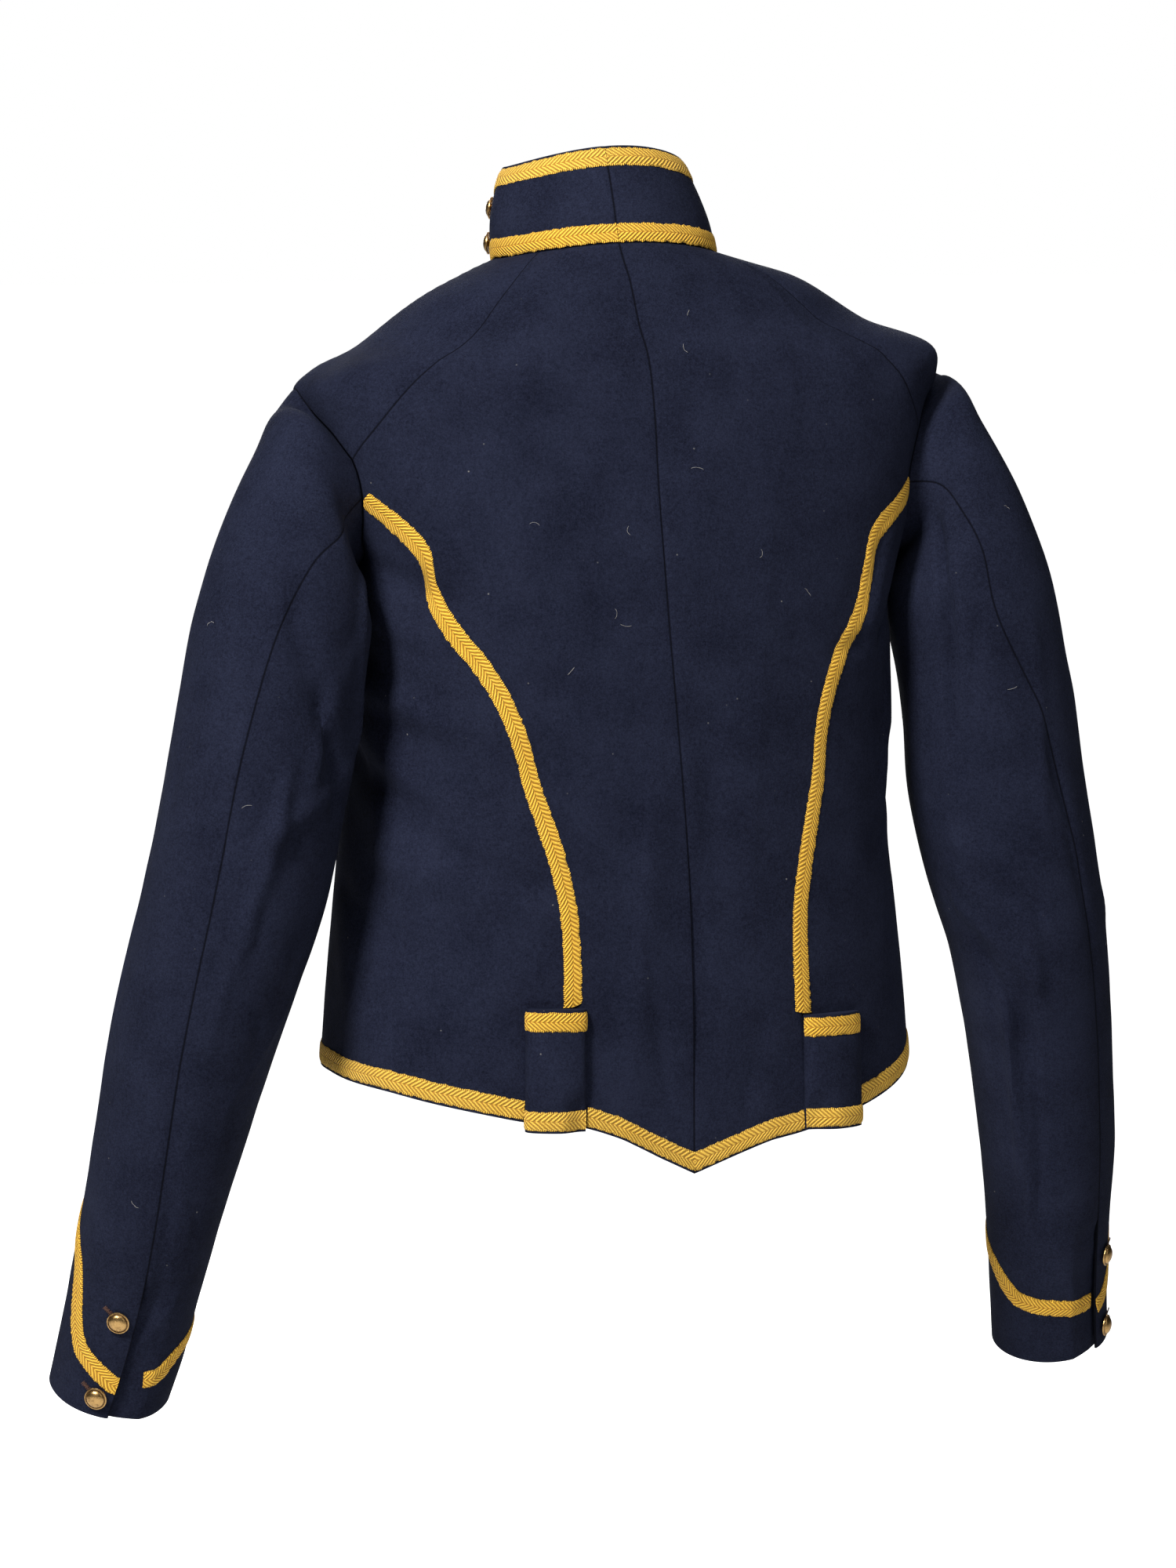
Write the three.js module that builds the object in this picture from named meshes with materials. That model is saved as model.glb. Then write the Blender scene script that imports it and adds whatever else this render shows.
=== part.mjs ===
// A cavalry shell jacket of dark blue wool, filled out as it is worn, with nobody in it.
// Millimetres, +Z up. The back faces +Y, the wearer's left is +X, and the origin is the
// middle of the neck at the foot of the collar, where the wearer's shoulders hold it up.
import * as THREE from 'three';

// Driving dimensions
const CLOTH = 1.8; // wall of the fulled wool
const SEAM_GAP = 0.3; // between pieces that are sewn together
const LACE_WIDE = 12; // worsted lace round the edges
const LACE_THICK = 0.9;
const LACE_LIFT = 0.4; // from the cloth to the lace
const LACE_GAP = 0.8; // between one lace and the next
const CLOTH_EDGE = 1.6; // cloth that shows outside the lace at hem, front and collar top
const LOOP_LACE_WIDE = 7; // lace of the blind buttonholes on the collar
const LOOP_SLOT = 1.5; // between the two runs of a blind buttonhole
const COLLAR_LOOP_LONG = 86; // from the front edge to the rear end of a loop
const LOOP_HEIGHTS = [9.2, 26.2]; // of the loops' middles above the collar seam
const BUTTON_RADIUS = 7.25;
const BUTTON_HIGH = 5.2;
const SHANK_RADIUS = 2.4;
const SHANK_HIGH = 1.5;
const BUTTON_SIDES = 8;
const FRONT_BUTTONS = 12;
const FRONT_PASS = 12.5; // how far each front passes the middle, in degrees round the body
const LAP_STEP = CLOTH + 1; // how far the right front sinks under the left
const BOLSTER_WIDE = 35; // small pad at the back of the waist that carries the belt
const BOLSTER_HIGH = 11;
const BOLSTER_LIFT = 0.3;
const BOLSTER_FOOT_EDGE = 0.6; // cloth that shows below its lower lace
const PAD_GAP = 1.7; // from the pad to the hem's lace on each side
const CUFF_SLIT_LONG = 105; // open end of the hind seam
const CUFF_BUTTON_RISES = [16, 66]; // above the cuff's edge
const CUFF_BUTTON_INSET = 11; // from the slit
const FRONT_BUTTON_TOP = 22; // from the neck to the first button
const FRONT_BUTTON_END = 34; // from the hem to the last button
const CUFF_LAP = 11; // how far the under sleeve passes beneath the top sleeve at the slit
const CUFF_LAP_BEND = 0.3; // how much it turns in on the way
const SLEEVE_CLEAR = 2.2; // least room between a sleeve and the body under the arm

// Rows and columns of the walls
const LOW_ROWS = 16; // hem to armhole
const ARM_BACK_ROWS = 3; // armhole from the side back seam to the shoulder seam
const ARM_FRONT_ROWS = 12; // armhole from the underarm over the front to the shoulder seam
const FRONT_SEAM_ROWS = 5; // of those, from the underarm to the sleeve's front seam
const SHOULDER_COLUMNS = 6;
const NECK_BACK_COLUMNS = 4;
const NECK_FRONT_COLUMNS = 9;
const SIDE_COLUMNS = 7;
const SLEEVE_ROWS = 22;
const COLLAR_ROWS = 4;
const BOLSTER_ROWS = 5;
const BOLSTER_COLUMNS = 8;

const DEGREE = Math.PI / 180;
const ARC_PER_DEGREE = 2.7; // mm of body per degree, used to place folds
const BACK_ARC_PER_DEGREE = 2.45; // the same at the back of the waist
const RISE_PER_LEVEL = 45; // mm of body per ring, used to space a front's columns
const EVEN_ROUNDS = 60; // plain rounds of spacing, before the finer ones
const SPACING_ROUNDS = 400;

function table(columns, rows) {
  return rows.map((row) => Object.fromEntries(columns.map((name, i) => [name, row[i]])));
}

// The body's rings, from below the hem to the neck. side, back and front are the ring's
// heights there; half is its half width; backY, frontY and midY say how far it reaches;
// the powers say how square its back and front halves are; lean lifts the wearer's left;
// shift moves the ring to the wearer's left.
const BODY = table(
  ['side', 'back', 'front', 'half', 'backY', 'frontY', 'midY', 'backPower', 'frontPower', 'lean', 'shift'],
  [
    [-600, -600, -600, 196, 136, -98, 20, 2.5, 2.3, 5, 0],
    [-540, -540, -540, 195, 135, -98, 20, 2.5, 2.3, 5, 0],
    [-480, -480, -480, 191, 134, -98, 20, 2.5, 2.3, 5, 0],
    [-420, -420, -420, 185, 132, -99, 19, 2.5, 2.3, 5, 0],
    [-360, -360, -360, 179, 130, -101, 18, 2.5, 2.3, 4, 0],
    [-300, -300, -300, 175, 127, -103, 16, 2.5, 2.3, 3, 0],
    [-250, -242, -242, 177, 122, -102, 13, 2.6, 2.3, 2, 0],
    [-200, -190, -192, 182, 116, -98, 9, 2.8, 2.4, 1, -1],
    [-150, -143, -150, 192, 108, -92, 5, 3.0, 2.5, -1, -3],
    [-108, -102, -119, 204, 98, -84, 0, 3.0, 2.5, -4, -6],
    [-72, -66, -95, 211.5, 89, -76, -5, 2.7, 2.4, -6, -7],
    [-49.5, -43, -76, 168, 80, -70, -5, 2.4, 2.3, -6, -5],
    [-24, -17, -61, 129, 73, -66, -3, 2.2, 2.2, -5, -3],
    [-10, -2.5, -53, 95, 67, -63, -1, 2.1, 2.1, -2, -1],
    [-3, 8, -47, 72, 62, -60, 0, 2.0, 2.0, 0, 0],
  ],
);
const NECK_LEVEL = BODY.length - 1;
const SEAM_SHIFT_SHARE = 0.65; // of the centre seam's turn, taken up by the side back seams
const LOWEST_RING = -600;
const RING_STEP = 60; // between the straight rings below the waist

// The collar's rings, from its seam to its top edge.
const COLLAR = table(
  ['side', 'back', 'front', 'half', 'backY', 'frontY', 'midY', 'backPower', 'frontPower', 'lean', 'shift'],
  [
    [-3, 8, -47, 72, 62, -60, 0, 2.0, 2.0, 0, 0],
    [16, 28, -31, 70, 55, -66, -5, 2.0, 2.0, 0, 0.5],
    [35, 48, -15, 65, 46, -71, -11, 2.0, 2.0, 0, 1],
    [54, 68, 0, 58, 37, -75, -17, 2.0, 2.0, 0, 2],
  ],
);

// Where the centre back seam runs, as an angle to the wearer's left of the middle.
const BACK_SEAM = table(
  ['level', 'angle'],
  [[0, -5], [2.4, -5.2], [3.6, -4.3], [5.2, -1], [6.3, 1], [8, 4], [10.3, 6.5], [12, 9.5], [14, 12.5]],
);
// The side back seam, with its kink over the shoulder blade.
const SIDE_BACK_SEAM = table(
  ['level', 'angle'],
  [
    [1.0, 37], [2.2, 35.5], [3.05, 35.5], [3.6, 37.5], [4.1, 40.5], [4.6, 43.7], [5.15, 46.2], [5.7, 51],
    [6.2, 57], [6.55, 60.3], [6.95, 61.4], [7.2, 61.2], [7.7, 68.5], [8.0, 74.5],
  ],
);
const SHOULDER_SEAM = table(
  ['level', 'angle'],
  [[8.6, 75.5], [9.0, 71], [9.6, 66], [10.25, 62], [11, 59.5], [11.8, 57.5], [12.6, 56.5], [14, 57]],
);
const SIDE_SEAM = table(['level', 'angle'], [[1.4, 98], [3, 98], [5, 97], [6.9, 96]]);
const ARM_BACK = table(['level', 'angle'], [[8.0, 74.5], [8.3, 74.6], [8.6, 75.5]]);
const ARM_FRONT = table(
  ['level', 'angle'],
  [[6.9, 96], [7.2, 103], [8.0, 107], [8.9, 106], [9.6, 100.5], [9.93, 91], [9.3, 82], [8.6, 75.5]],
);
const ARM_UNDER = table(['level', 'angle'], [[8.0, 74.5], [7.5, 76.5], [7.05, 82], [6.85, 89], [6.9, 96]]);
// The hem's height on each side by the angle from the centre back, with the point at the back.
const HEM = table(
  ['angle', 'left', 'right'],
  [
    [0, -569, -569], [12, -559, -561], [24, -548, -553], [34, -541, -549], [47, -538, -540],
    [62, -530, -526], [75, -522, -513], [90, -519, -510], [120, -518, -511], [200, -522, -522],
  ],
);

// The left sleeve's rings, from just outside the armhole to the cuff. x, y and z are the
// ring's middle; tilt turns its outer side up; pitch drops its back; wide and deep are its
// half sizes across and front to back.
const SLEEVE = table(
  ['x', 'y', 'z', 'tilt', 'pitch', 'wide', 'deep'],
  [
    [205, 14, -136, 75, 0, 66.5, 56],
    [210.5, 30, -161, 60, 0, 61.5, 57],
    [220.5, 42, -190, 40, 0, 57, 56],
    [233, 50, -232, 19, 0, 56, 55],
    [244, 53, -292, 10, 1, 58, 54],
    [253.5, 52, -344, 11, 2, 57.5, 54],
    [264, 52, -394, 13, 4, 56, 54],
    [277.5, 48, -444, 13, 8, 53, 52],
    [289.5, 38.5, -494, 11, 12, 50, 49],
    [299, 27.5, -544, 10, 13, 47, 47],
    [307.5, 16.5, -594, 9, 14, 44, 45],
    [315.5, 3.5, -644, 9, 15, 41.5, 42],
    [322.5, -9.5, -686, 9, 16, 40.5, 40],
    [329.5, -22, -726, 9, 16, 40, 39.5],
  ],
);
const SLEEVE_LEAN = 6; // the left shoulder drops and the left cuff rises by this; the right ones reverse it
const SLEEVE_SHIFT = { head: -4.5, cuff: 0 }; // of both sleeves to the wearer's left
const HIND_SEAM_ANGLE = 29; // round the sleeve, from its back towards its outside
const HEAD_RINGS = 4; // over which the columns swing from the armhole to even spacing
const ARMHOLE_FOOT = -165; // below this height the sleeve hangs beside the body

// Height of the cuff lace above the cuff's edge, by the angle round the sleeve.
const CUFF_LACE = table(
  ['angle', 'rise'],
  [
    [29, 14], [40, 27], [52, 40], [70, 56], [92, 72], [110, 90], [130, 108], [150, 126], [162, 134],
    [174, 126], [196, 100], [216, 78], [245, 52], [275, 38], [310, 32], [345, 28], [372, 25], [389, 25],
  ],
);

// The two small pads at the waist: the angle of the middle and the heights of the ends.
const BOLSTERS = table(
  ['side', 'angle', 'top', 'foot'],
  [[1, 36, -466, -543], [-1, 46, -475, -548]],
);

// Soft folds: each runs from one place to another, with its own width and height. On the
// body a place is an angle and a height; on a sleeve it is an angle and a height too.
// side is 1 for the wearer's left, -1 for the right and 0 for both.
const BODY_FOLDS = table(
  ['side', 'angle0', 'z0', 'angle1', 'z1', 'wide', 'high'],
  [
    [1, 76, -215, 46, -290, 13, 3.2],
    [1, 84, -235, 60, -345, 14, -3.0],
    [1, 80, -300, 48, -375, 13, 2.6],
    [1, 92, -330, 66, -430, 16, -2.6],
    [-1, 72, -170, 64, -235, 12, 4.5],
    [-1, 78, -250, 70, -350, 12, 3.4],
    [-1, 90, -270, 84, -380, 12, -2.6],
    [1, 8, -350, 14, -500, 15, 2.4],
    [-1, 12, -300, 6, -480, 16, -1.8],
    [0, 128, -215, 152, -270, 15, 2.6],
    [0, 118, -240, 128, -380, 16, -2.6],
    [0, 150, -330, 140, -450, 18, 2.2],
    [0, 70, -72, 84, -56, 9, 1.6],
  ],
);
const SLEEVE_FOLDS = table(
  ['side', 'angle0', 'z0', 'angle1', 'z1', 'wide', 'high'],
  [
    [1, -34, -262, -2, -345, 13, 3.6],
    [1, 0, -340, 8, -430, 13, 3.4],
    [1, -34, -385, 6, -372, 11, -3.0],
    [1, -40, -430, 4, -412, 10, 3.0],
    [1, 150, -400, 190, -430, 11, -3.4],
    [1, 120, -300, 110, -470, 18, 2.0],
    [1, 20, -520, 0, -640, 15, -1.8],
    [-1, -70, -385, -20, -450, 13, 3.8],
    [-1, -60, -440, -28, -520, 12, -3.4],
    [-1, -50, -470, -40, -610, 14, 2.6],
    [-1, 150, -400, 190, -430, 11, -3.4],
    [-1, 20, -330, 30, -430, 14, -2.0],
    [0, 170, -250, 200, -330, 16, 2.2],
    [0, 210, -360, 250, -385, 10, -2.8],
  ],
);

const wool = { color: 0x1b2140, roughness: 0.95, metalness: 0 };
const lace = { color: 0xd9a928, roughness: 0.8, metalness: 0 };
const brass = { color: 0xa98548, roughness: 0.4, metalness: 0.9 };

const jacket = new THREE.Group();

function vector(x, y, z) {
  return new THREE.Vector3(x, y, z);
}

// Reads a table on a smooth curve through its rows; place counts rows, with fractions.
function smoothRow(rows, place) {
  const at = Math.min(Math.max(place, 0), rows.length - 1);
  const i = Math.min(Math.floor(at), rows.length - 2);
  const f = at - i;
  const before = rows[Math.max(i - 1, 0)];
  const after = rows[Math.min(i + 2, rows.length - 1)];
  const row = {};
  for (const name of Object.keys(rows[0])) {
    const [a, b, c, d] = [before[name], rows[i][name], rows[i + 1][name], after[name]];
    const square = 2 * a - 5 * b + 4 * c - d;
    const cube = 3 * b - a - 3 * c + d;
    row[name] = 0.5 * (2 * b + (c - a) * f + square * f * f + cube * f * f * f);
  }
  return row;
}

// Reads one column against another, in straight steps.
function lookUp(rows, key, value, name) {
  const last = rows.length - 1;
  const ahead = rows.findIndex((row) => row[key] > value);
  if (ahead === 0) return rows[0][name];
  if (ahead < 0) return rows[last][name];
  const [low, high] = [rows[ahead - 1], rows[ahead]];
  const share = (value - low[key]) / (high[key] - low[key]);
  return low[name] + (high[name] - low[name]) * share;
}

function blend(a, b, share) {
  return a + (b - a) * share;
}

function ease(value, start, end) {
  const t = Math.min(Math.max((value - start) / (end - start), 0), 1);
  return t * t * (3 - 2 * t);
}

// Sum of the folds' heights at a place.
function foldHeight(folds, side, angle, z) {
  let height = 0;
  for (const fold of folds) {
    if (fold.side !== 0 && fold.side !== side) continue;
    const run = [(fold.angle1 - fold.angle0) * ARC_PER_DEGREE, fold.z1 - fold.z0];
    const here = [(angle - fold.angle0) * ARC_PER_DEGREE, z - fold.z0];
    const length = Math.hypot(run[0], run[1]);
    const along = (here[0] * run[0] + here[1] * run[1]) / length;
    const past = Math.max(-along, along - length, 0);
    const across = (here[0] * run[1] - here[1] * run[0]) / length;
    height += fold.high * Math.exp(-((across / fold.wide) ** 2) - (past / (fold.wide * 1.6)) ** 2);
  }
  return height;
}

function ringPoint(ring, side, angle) {
  const sine = Math.sin(angle * DEGREE);
  const cosine = Math.cos(angle * DEGREE);
  const inBack = cosine > 0;
  const reach = inBack ? ring.backY - ring.midY : ring.midY - ring.frontY;
  const power = inBack ? ring.backPower : ring.frontPower;
  const sum = Math.abs(sine / ring.half) ** power + Math.abs(cosine / reach) ** power;
  const radius = sum ** (-1 / power);
  const fromMiddle = side * radius * sine;
  const y = ring.midY + radius * cosine;
  const share = Math.min(1, Math.abs(radius * cosine) / reach) ** 1.6;
  const z = blend(ring.side, inBack ? ring.back : ring.front, share) + (ring.lean * fromMiddle) / ring.half;
  return vector(fromMiddle + ring.shift, y, z);
}

// The outward direction of a surface given as a function of two numbers.
function outward(surface, u, v, stepU, stepV, side) {
  const alongU = surface(u + stepU, v).sub(surface(u - stepU, v));
  const alongV = surface(u, v + stepV).sub(surface(u, v - stepV));
  return alongV.cross(alongU).multiplyScalar(side).normalize();
}

// Point of the body's outer face. The right front steps inward where the left laps over it.
function bodyPoint(side, angle, level) {
  const plain = (u, v) => ringPoint(smoothRow(BODY, v), side, u);
  const point = plain(angle, level);
  const fade = 1 - ease(level, NECK_LEVEL - 1.5, NECK_LEVEL);
  const step = side < 0 ? LAP_STEP * ease(angle, 168 - FRONT_PASS, 174 - FRONT_PASS) : 0;
  const height = foldHeight(BODY_FOLDS, side, angle, point.z) * fade - step;
  if (height === 0) return point;
  const held = Math.min(level, NECK_LEVEL - 0.02);
  return point.addScaledVector(outward(plain, angle, held, 0.5, 0.02, side), height);
}

function bodyOutward(side, angle, level) {
  const held = Math.min(level, NECK_LEVEL - 0.02);
  return outward((u, v) => bodyPoint(side, u, v), angle, held, 0.5, 0.02, side);
}

// Places at even spacing along a seam table, measured on the body.
function alongSeam(seam, count, shift = () => 0) {
  const places = [];
  for (let i = 0; i <= (seam.length - 1) * 12; i++) {
    const { level, angle } = smoothRow(seam, i / 12);
    const turned = angle + shift(level);
    places.push({ level, angle: turned, point: ringPoint(smoothRow(BODY, level), 1, turned) });
  }
  const lengths = [0];
  for (let i = 1; i < places.length; i++) {
    lengths.push(lengths[i - 1] + places[i].point.distanceTo(places[i - 1].point));
  }
  const rows = places.map((place, i) => ({ ...place, length: lengths[i] }));
  const total = lengths[lengths.length - 1];
  return Array.from({ length: count + 1 }, (_, i) => {
    const length = Math.min((total * i) / count, total - 1e-6);
    const read = (name) => lookUp(rows, 'length', length, name);
    return { level: read('level'), angle: read('angle') };
  });
}

function backSeamAngle(level) {
  return lookUp(BACK_SEAM, 'level', level, 'angle');
}

function hemPlace(side, angle) {
  const z = lookUp(HEM, 'angle', Math.abs(angle - side * backSeamAngle(0)), side > 0 ? 'left' : 'right');
  return { angle, level: (z - LOWEST_RING) / RING_STEP };
}

function evenly(count, make) {
  return Array.from({ length: count + 1 }, (_, i) => make(i / count));
}

// Fills a four sided piece between its edges; each edge is a list of places.
function fillBetween(bottom, top, left, right) {
  const rows = left.length - 1;
  const columns = bottom.length - 1;
  const mix = (key, i, j) => {
    const t = i / rows;
    const s = j / columns;
    const upright = blend(bottom[j][key], top[j][key], t);
    const level = blend(left[i][key], right[i][key], s);
    const low = blend(bottom[0][key], bottom[columns][key], s);
    const high = blend(top[0][key], top[columns][key], s);
    return upright + level - blend(low, high, t);
  };
  const place = (i, j) => ({ angle: mix('angle', i, j), level: mix('level', i, j) });
  return left.map((_, i) => bottom.map((__, j) => place(i, j)));
}

// Spaces the places inside a piece so that none of its rows or columns cross. It starts with
// plain averages, then weighs each direction by how far apart the places are across it.
function spaceOut(grid) {
  const between = (a, b) => [(b.angle - a.angle) * ARC_PER_DEGREE, (b.level - a.level) * RISE_PER_LEVEL];
  const product = (p, q) => (p[0] * q[0] + p[1] * q[1]) / 4;
  const settle = (i, j, plain) => {
    const [rowBelow, row, rowAbove] = [grid[i - 1], grid[i], grid[i + 1]];
    const along = between(row[j - 1], row[j + 1]);
    const up = between(rowBelow[j], rowAbove[j]);
    const alongShare = plain ? 1 : product(up, up);
    const upShare = plain ? 1 : product(along, along);
    const twist = plain ? 0 : product(along, up) / 2;
    for (const key of ['angle', 'level']) {
      const sides = row[j - 1][key] + row[j + 1][key];
      const ends = rowBelow[j][key] + rowAbove[j][key];
      const skewAbove = rowAbove[j + 1][key] - rowAbove[j - 1][key];
      const skewBelow = rowBelow[j + 1][key] - rowBelow[j - 1][key];
      const sum = alongShare * sides + upShare * ends - twist * (skewAbove - skewBelow);
      row[j][key] = sum / (2 * (alongShare + upShare));
    }
  };
  for (let round = 0; round < SPACING_ROUNDS; round++) {
    for (let i = 1; i < grid.length - 1; i++) {
      for (let j = 1; j < grid[0].length - 1; j++) settle(i, j, round < EVEN_ROUNDS);
    }
  }
  return grid;
}

// The places of every body piece on one side. Rows run up, columns run from back to front.
function bodyLayout(side) {
  const sideBack = alongSeam(SIDE_BACK_SEAM, LOW_ROWS, (level) => {
    return side * SEAM_SHIFT_SHARE * backSeamAngle(level) * (1 - ease(level, 7, 8));
  });
  const sideSeam = alongSeam(SIDE_SEAM, LOW_ROWS);
  const armBack = alongSeam(ARM_BACK, ARM_BACK_ROWS);
  const armFront = alongSeam(ARM_FRONT, ARM_FRONT_ROWS);
  const armUnder = alongSeam(ARM_UNDER, SIDE_COLUMNS);
  const shoulder = alongSeam(SHOULDER_SEAM, SHOULDER_COLUMNS);
  sideBack[0] = hemPlace(side, sideBack[0].angle);
  sideSeam[0] = hemPlace(side, sideSeam[0].angle);

  const backHem = side * backSeamAngle(0);
  const backNeck = side * backSeamAngle(NECK_LEVEL);
  const neckCorner = shoulder[SHOULDER_COLUMNS].angle;
  const middle = 180 + FRONT_PASS;
  const backColumns = NECK_BACK_COLUMNS + SHOULDER_COLUMNS;
  const frontColumns = NECK_FRONT_COLUMNS + SHOULDER_COLUMNS;

  const alongHem = (start, end) => (s) => hemPlace(side, blend(start, end, s));
  const alongNeck = (start, end) => (s) => ({ angle: blend(start, end, s), level: NECK_LEVEL });
  const backBottom = evenly(backColumns, alongHem(backHem, sideBack[0].angle));
  const backTop = evenly(NECK_BACK_COLUMNS, alongNeck(backNeck, neckCorner));
  backTop.push(...[...shoulder].reverse().slice(1));
  const backRight = [...sideBack, ...armBack.slice(1)];
  const backLeft = evenly(backRight.length - 1, (t) => {
    const level = blend(backBottom[0].level, NECK_LEVEL, t);
    return { angle: side * backSeamAngle(level), level };
  });

  const frontBottom = evenly(frontColumns, alongHem(sideSeam[0].angle, middle));
  const neckFront = evenly(NECK_FRONT_COLUMNS, alongNeck(neckCorner, middle));
  const frontTop = [...shoulder, ...neckFront.slice(1)];
  const frontLeft = [...sideSeam, ...armFront.slice(1)];
  const frontRight = evenly(frontLeft.length - 1, (t) => ({
    angle: middle,
    level: blend(frontBottom[frontColumns].level, NECK_LEVEL, t),
  }));

  const sideBottom = evenly(SIDE_COLUMNS, alongHem(sideBack[0].angle, sideSeam[0].angle));
  return {
    back: fillBetween(backBottom, backTop, backLeft, backRight),
    front: spaceOut(fillBetween(frontBottom, frontTop, frontLeft, frontRight)),
    side_body: fillBetween(sideBottom, armUnder, sideBack, sideSeam),
    collar: [...backTop.slice(0, NECK_BACK_COLUMNS), ...neckFront].map((place) => place.angle),
  };
}

// One place of a wall: its outer point and its inner point.
function wallPlace(outer, direction, thick = CLOTH) {
  return { outer, inner: outer.clone().addScaledVector(direction, -thick) };
}

function placeKey({ angle, level }) {
  return `${angle.toFixed(5)} ${level.toFixed(5)}`;
}

// The angle of an armhole's place round the sleeve's first ring, not less than the last one.
function armholeAngle(side, point, last) {
  const ring = SLEEVE[0];
  const tilt = ring.tilt * DEGREE;
  const out = (point.x - SLEEVE_SHIFT.head) * side - ring.x;
  const up = point.z - ring.z;
  const angle = Math.atan2(out * Math.cos(tilt) + up * Math.sin(tilt), point.y - ring.y) / DEGREE;
  return angle < last - 90 ? angle + 360 : angle;
}

// The armhole as one loop of places, from the side back seam over the shoulder and round.
function armholeLoop(side, layout, sleeveOutward) {
  const backColumn = layout.back[0].length - 1;
  const places = layout.back.slice(LOW_ROWS).map((row) => row[backColumn]);
  const front = layout.front.slice(LOW_ROWS).map((row) => row[0]);
  const under = layout.side_body[LOW_ROWS];
  places.push(...front.reverse().slice(1), ...[...under].reverse().slice(1, -1));
  let turned = 0;
  return places.map((place, i) => {
    const outer = bodyPoint(side, place.angle, place.level);
    const angle = armholeAngle(side, outer, turned);
    turned = angle;
    const fromBody = bodyOutward(side, place.angle, place.level);
    if (!sleeveOutward) return { outer, angle };
    const shared = fromBody.clone().add(sleeveOutward[i]).normalize();
    const thick = CLOTH / Math.max(shared.dot(fromBody), 0.6);
    return { ...wallPlace(outer, shared, thick), angle, key: placeKey(place) };
  });
}

// Moves the places along a wall's sewn edges inward by half a seam's gap.
function insetEdges(grid, sewn) {
  const rows = grid.length - 1;
  const columns = grid[0].length - 1;
  const shifts = new Map();
  const nudge = (i, j, before, after, within) => {
    const along = after.outer.clone().sub(before.outer);
    const through = grid[i][j].outer.clone().sub(grid[i][j].inner);
    const direction = along.cross(through).normalize();
    if (direction.dot(within.outer.clone().sub(grid[i][j].outer)) < 0) direction.negate();
    const key = i * 1000 + j;
    const sum = shifts.get(key) ?? vector(0, 0, 0);
    shifts.set(key, sum.addScaledVector(direction, SEAM_GAP / 2));
  };
  for (const edge of sewn) {
    const upright = edge === 'left' || edge === 'right';
    const last = upright ? rows : columns;
    for (let k = 0; k <= last; k++) {
      const [low, high] = [Math.max(k - 1, 0), Math.min(k + 1, last)];
      const line = edge === 'left' || edge === 'bottom' ? 0 : upright ? columns : rows;
      const next = line === 0 ? 1 : line - 1;
      if (upright) nudge(k, line, grid[low][line], grid[high][line], grid[k][next]);
      else nudge(line, k, grid[line][low], grid[line][high], grid[next][k]);
    }
  }
  for (const [key, shift] of shifts) {
    const place = grid[Math.floor(key / 1000)][key % 1000];
    place.outer = place.outer.clone().add(shift);
    place.inner = place.inner.clone().add(shift);
  }
  return grid;
}

// Makes a closed solid from a grid of places and adds it to the jacket.
function addWall(name, grid, finish) {
  const rows = grid.length;
  const columns = grid[0].length;
  const positions = [];
  for (const face of ['outer', 'inner']) {
    for (const row of grid) for (const place of row) positions.push(...place[face].toArray());
  }
  const at = (face, i, j) => face * rows * columns + i * columns + j;
  const faces = [];
  const quad = (a, b, c, d) => faces.push(a, b, c, a, c, d);
  const spot = (k) => vector(...positions.slice(3 * k, 3 * k + 3));
  const edgeQuad = (a, b, c, d) => {
    const turned = spot(b).distanceTo(spot(d)) < spot(a).distanceTo(spot(c));
    return turned ? quad(b, c, d, a) : quad(a, b, c, d);
  };
  for (let i = 0; i < rows - 1; i++) {
    for (let j = 0; j < columns - 1; j++) {
      quad(at(0, i, j), at(0, i, j + 1), at(0, i + 1, j + 1), at(0, i + 1, j));
      quad(at(1, i, j), at(1, i + 1, j), at(1, i + 1, j + 1), at(1, i, j + 1));
    }
  }
  for (let j = 0; j < columns - 1; j++) {
    const top = rows - 1;
    edgeQuad(at(0, 0, j), at(1, 0, j), at(1, 0, j + 1), at(0, 0, j + 1));
    edgeQuad(at(0, top, j), at(0, top, j + 1), at(1, top, j + 1), at(1, top, j));
  }
  for (let i = 0; i < rows - 1; i++) {
    const end = columns - 1;
    edgeQuad(at(0, i, 0), at(0, i + 1, 0), at(1, i + 1, 0), at(1, i, 0));
    edgeQuad(at(0, i, end), at(1, i, end), at(1, i + 1, end), at(0, i + 1, end));
  }
  const across = grid[0][1].outer.clone().sub(grid[0][0].outer);
  const up = grid[1][0].outer.clone().sub(grid[0][0].outer);
  const through = grid[0][0].outer.clone().sub(grid[0][0].inner);
  if (across.cross(up).dot(through) < 0) faces.reverse();
  const geometry = new THREE.BufferGeometry();
  geometry.setAttribute('position', new THREE.Float32BufferAttribute(positions, 3));
  geometry.setIndex(faces);
  geometry.computeVertexNormals();
  addMesh(name, geometry, finish);
}

function addMesh(name, geometry, finish) {
  const mesh = new THREE.Mesh(geometry, new THREE.MeshStandardMaterial(finish));
  mesh.name = name;
  jacket.add(mesh);
  return mesh;
}

// Point on a wall's outer face, lifted; row and column count places, with fractions.
function onWall(grid, row, column, lift) {
  const i = Math.min(Math.max(Math.floor(row), 0), grid.length - 2);
  const j = Math.min(Math.max(Math.floor(column), 0), grid[0].length - 2);
  const [t, s] = [row - i, column - j];
  const corner = (a, b, face) => grid[i + a][j + b][face];
  const mix = (face) => {
    const low = corner(0, 0, face).clone().lerp(corner(0, 1, face), s);
    const high = corner(1, 0, face).clone().lerp(corner(1, 1, face), s);
    return low.lerp(high, t);
  };
  const outer = mix('outer');
  const direction = outer.clone().sub(mix('inner')).normalize();
  return { point: outer.addScaledVector(direction, lift), direction };
}

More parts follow.
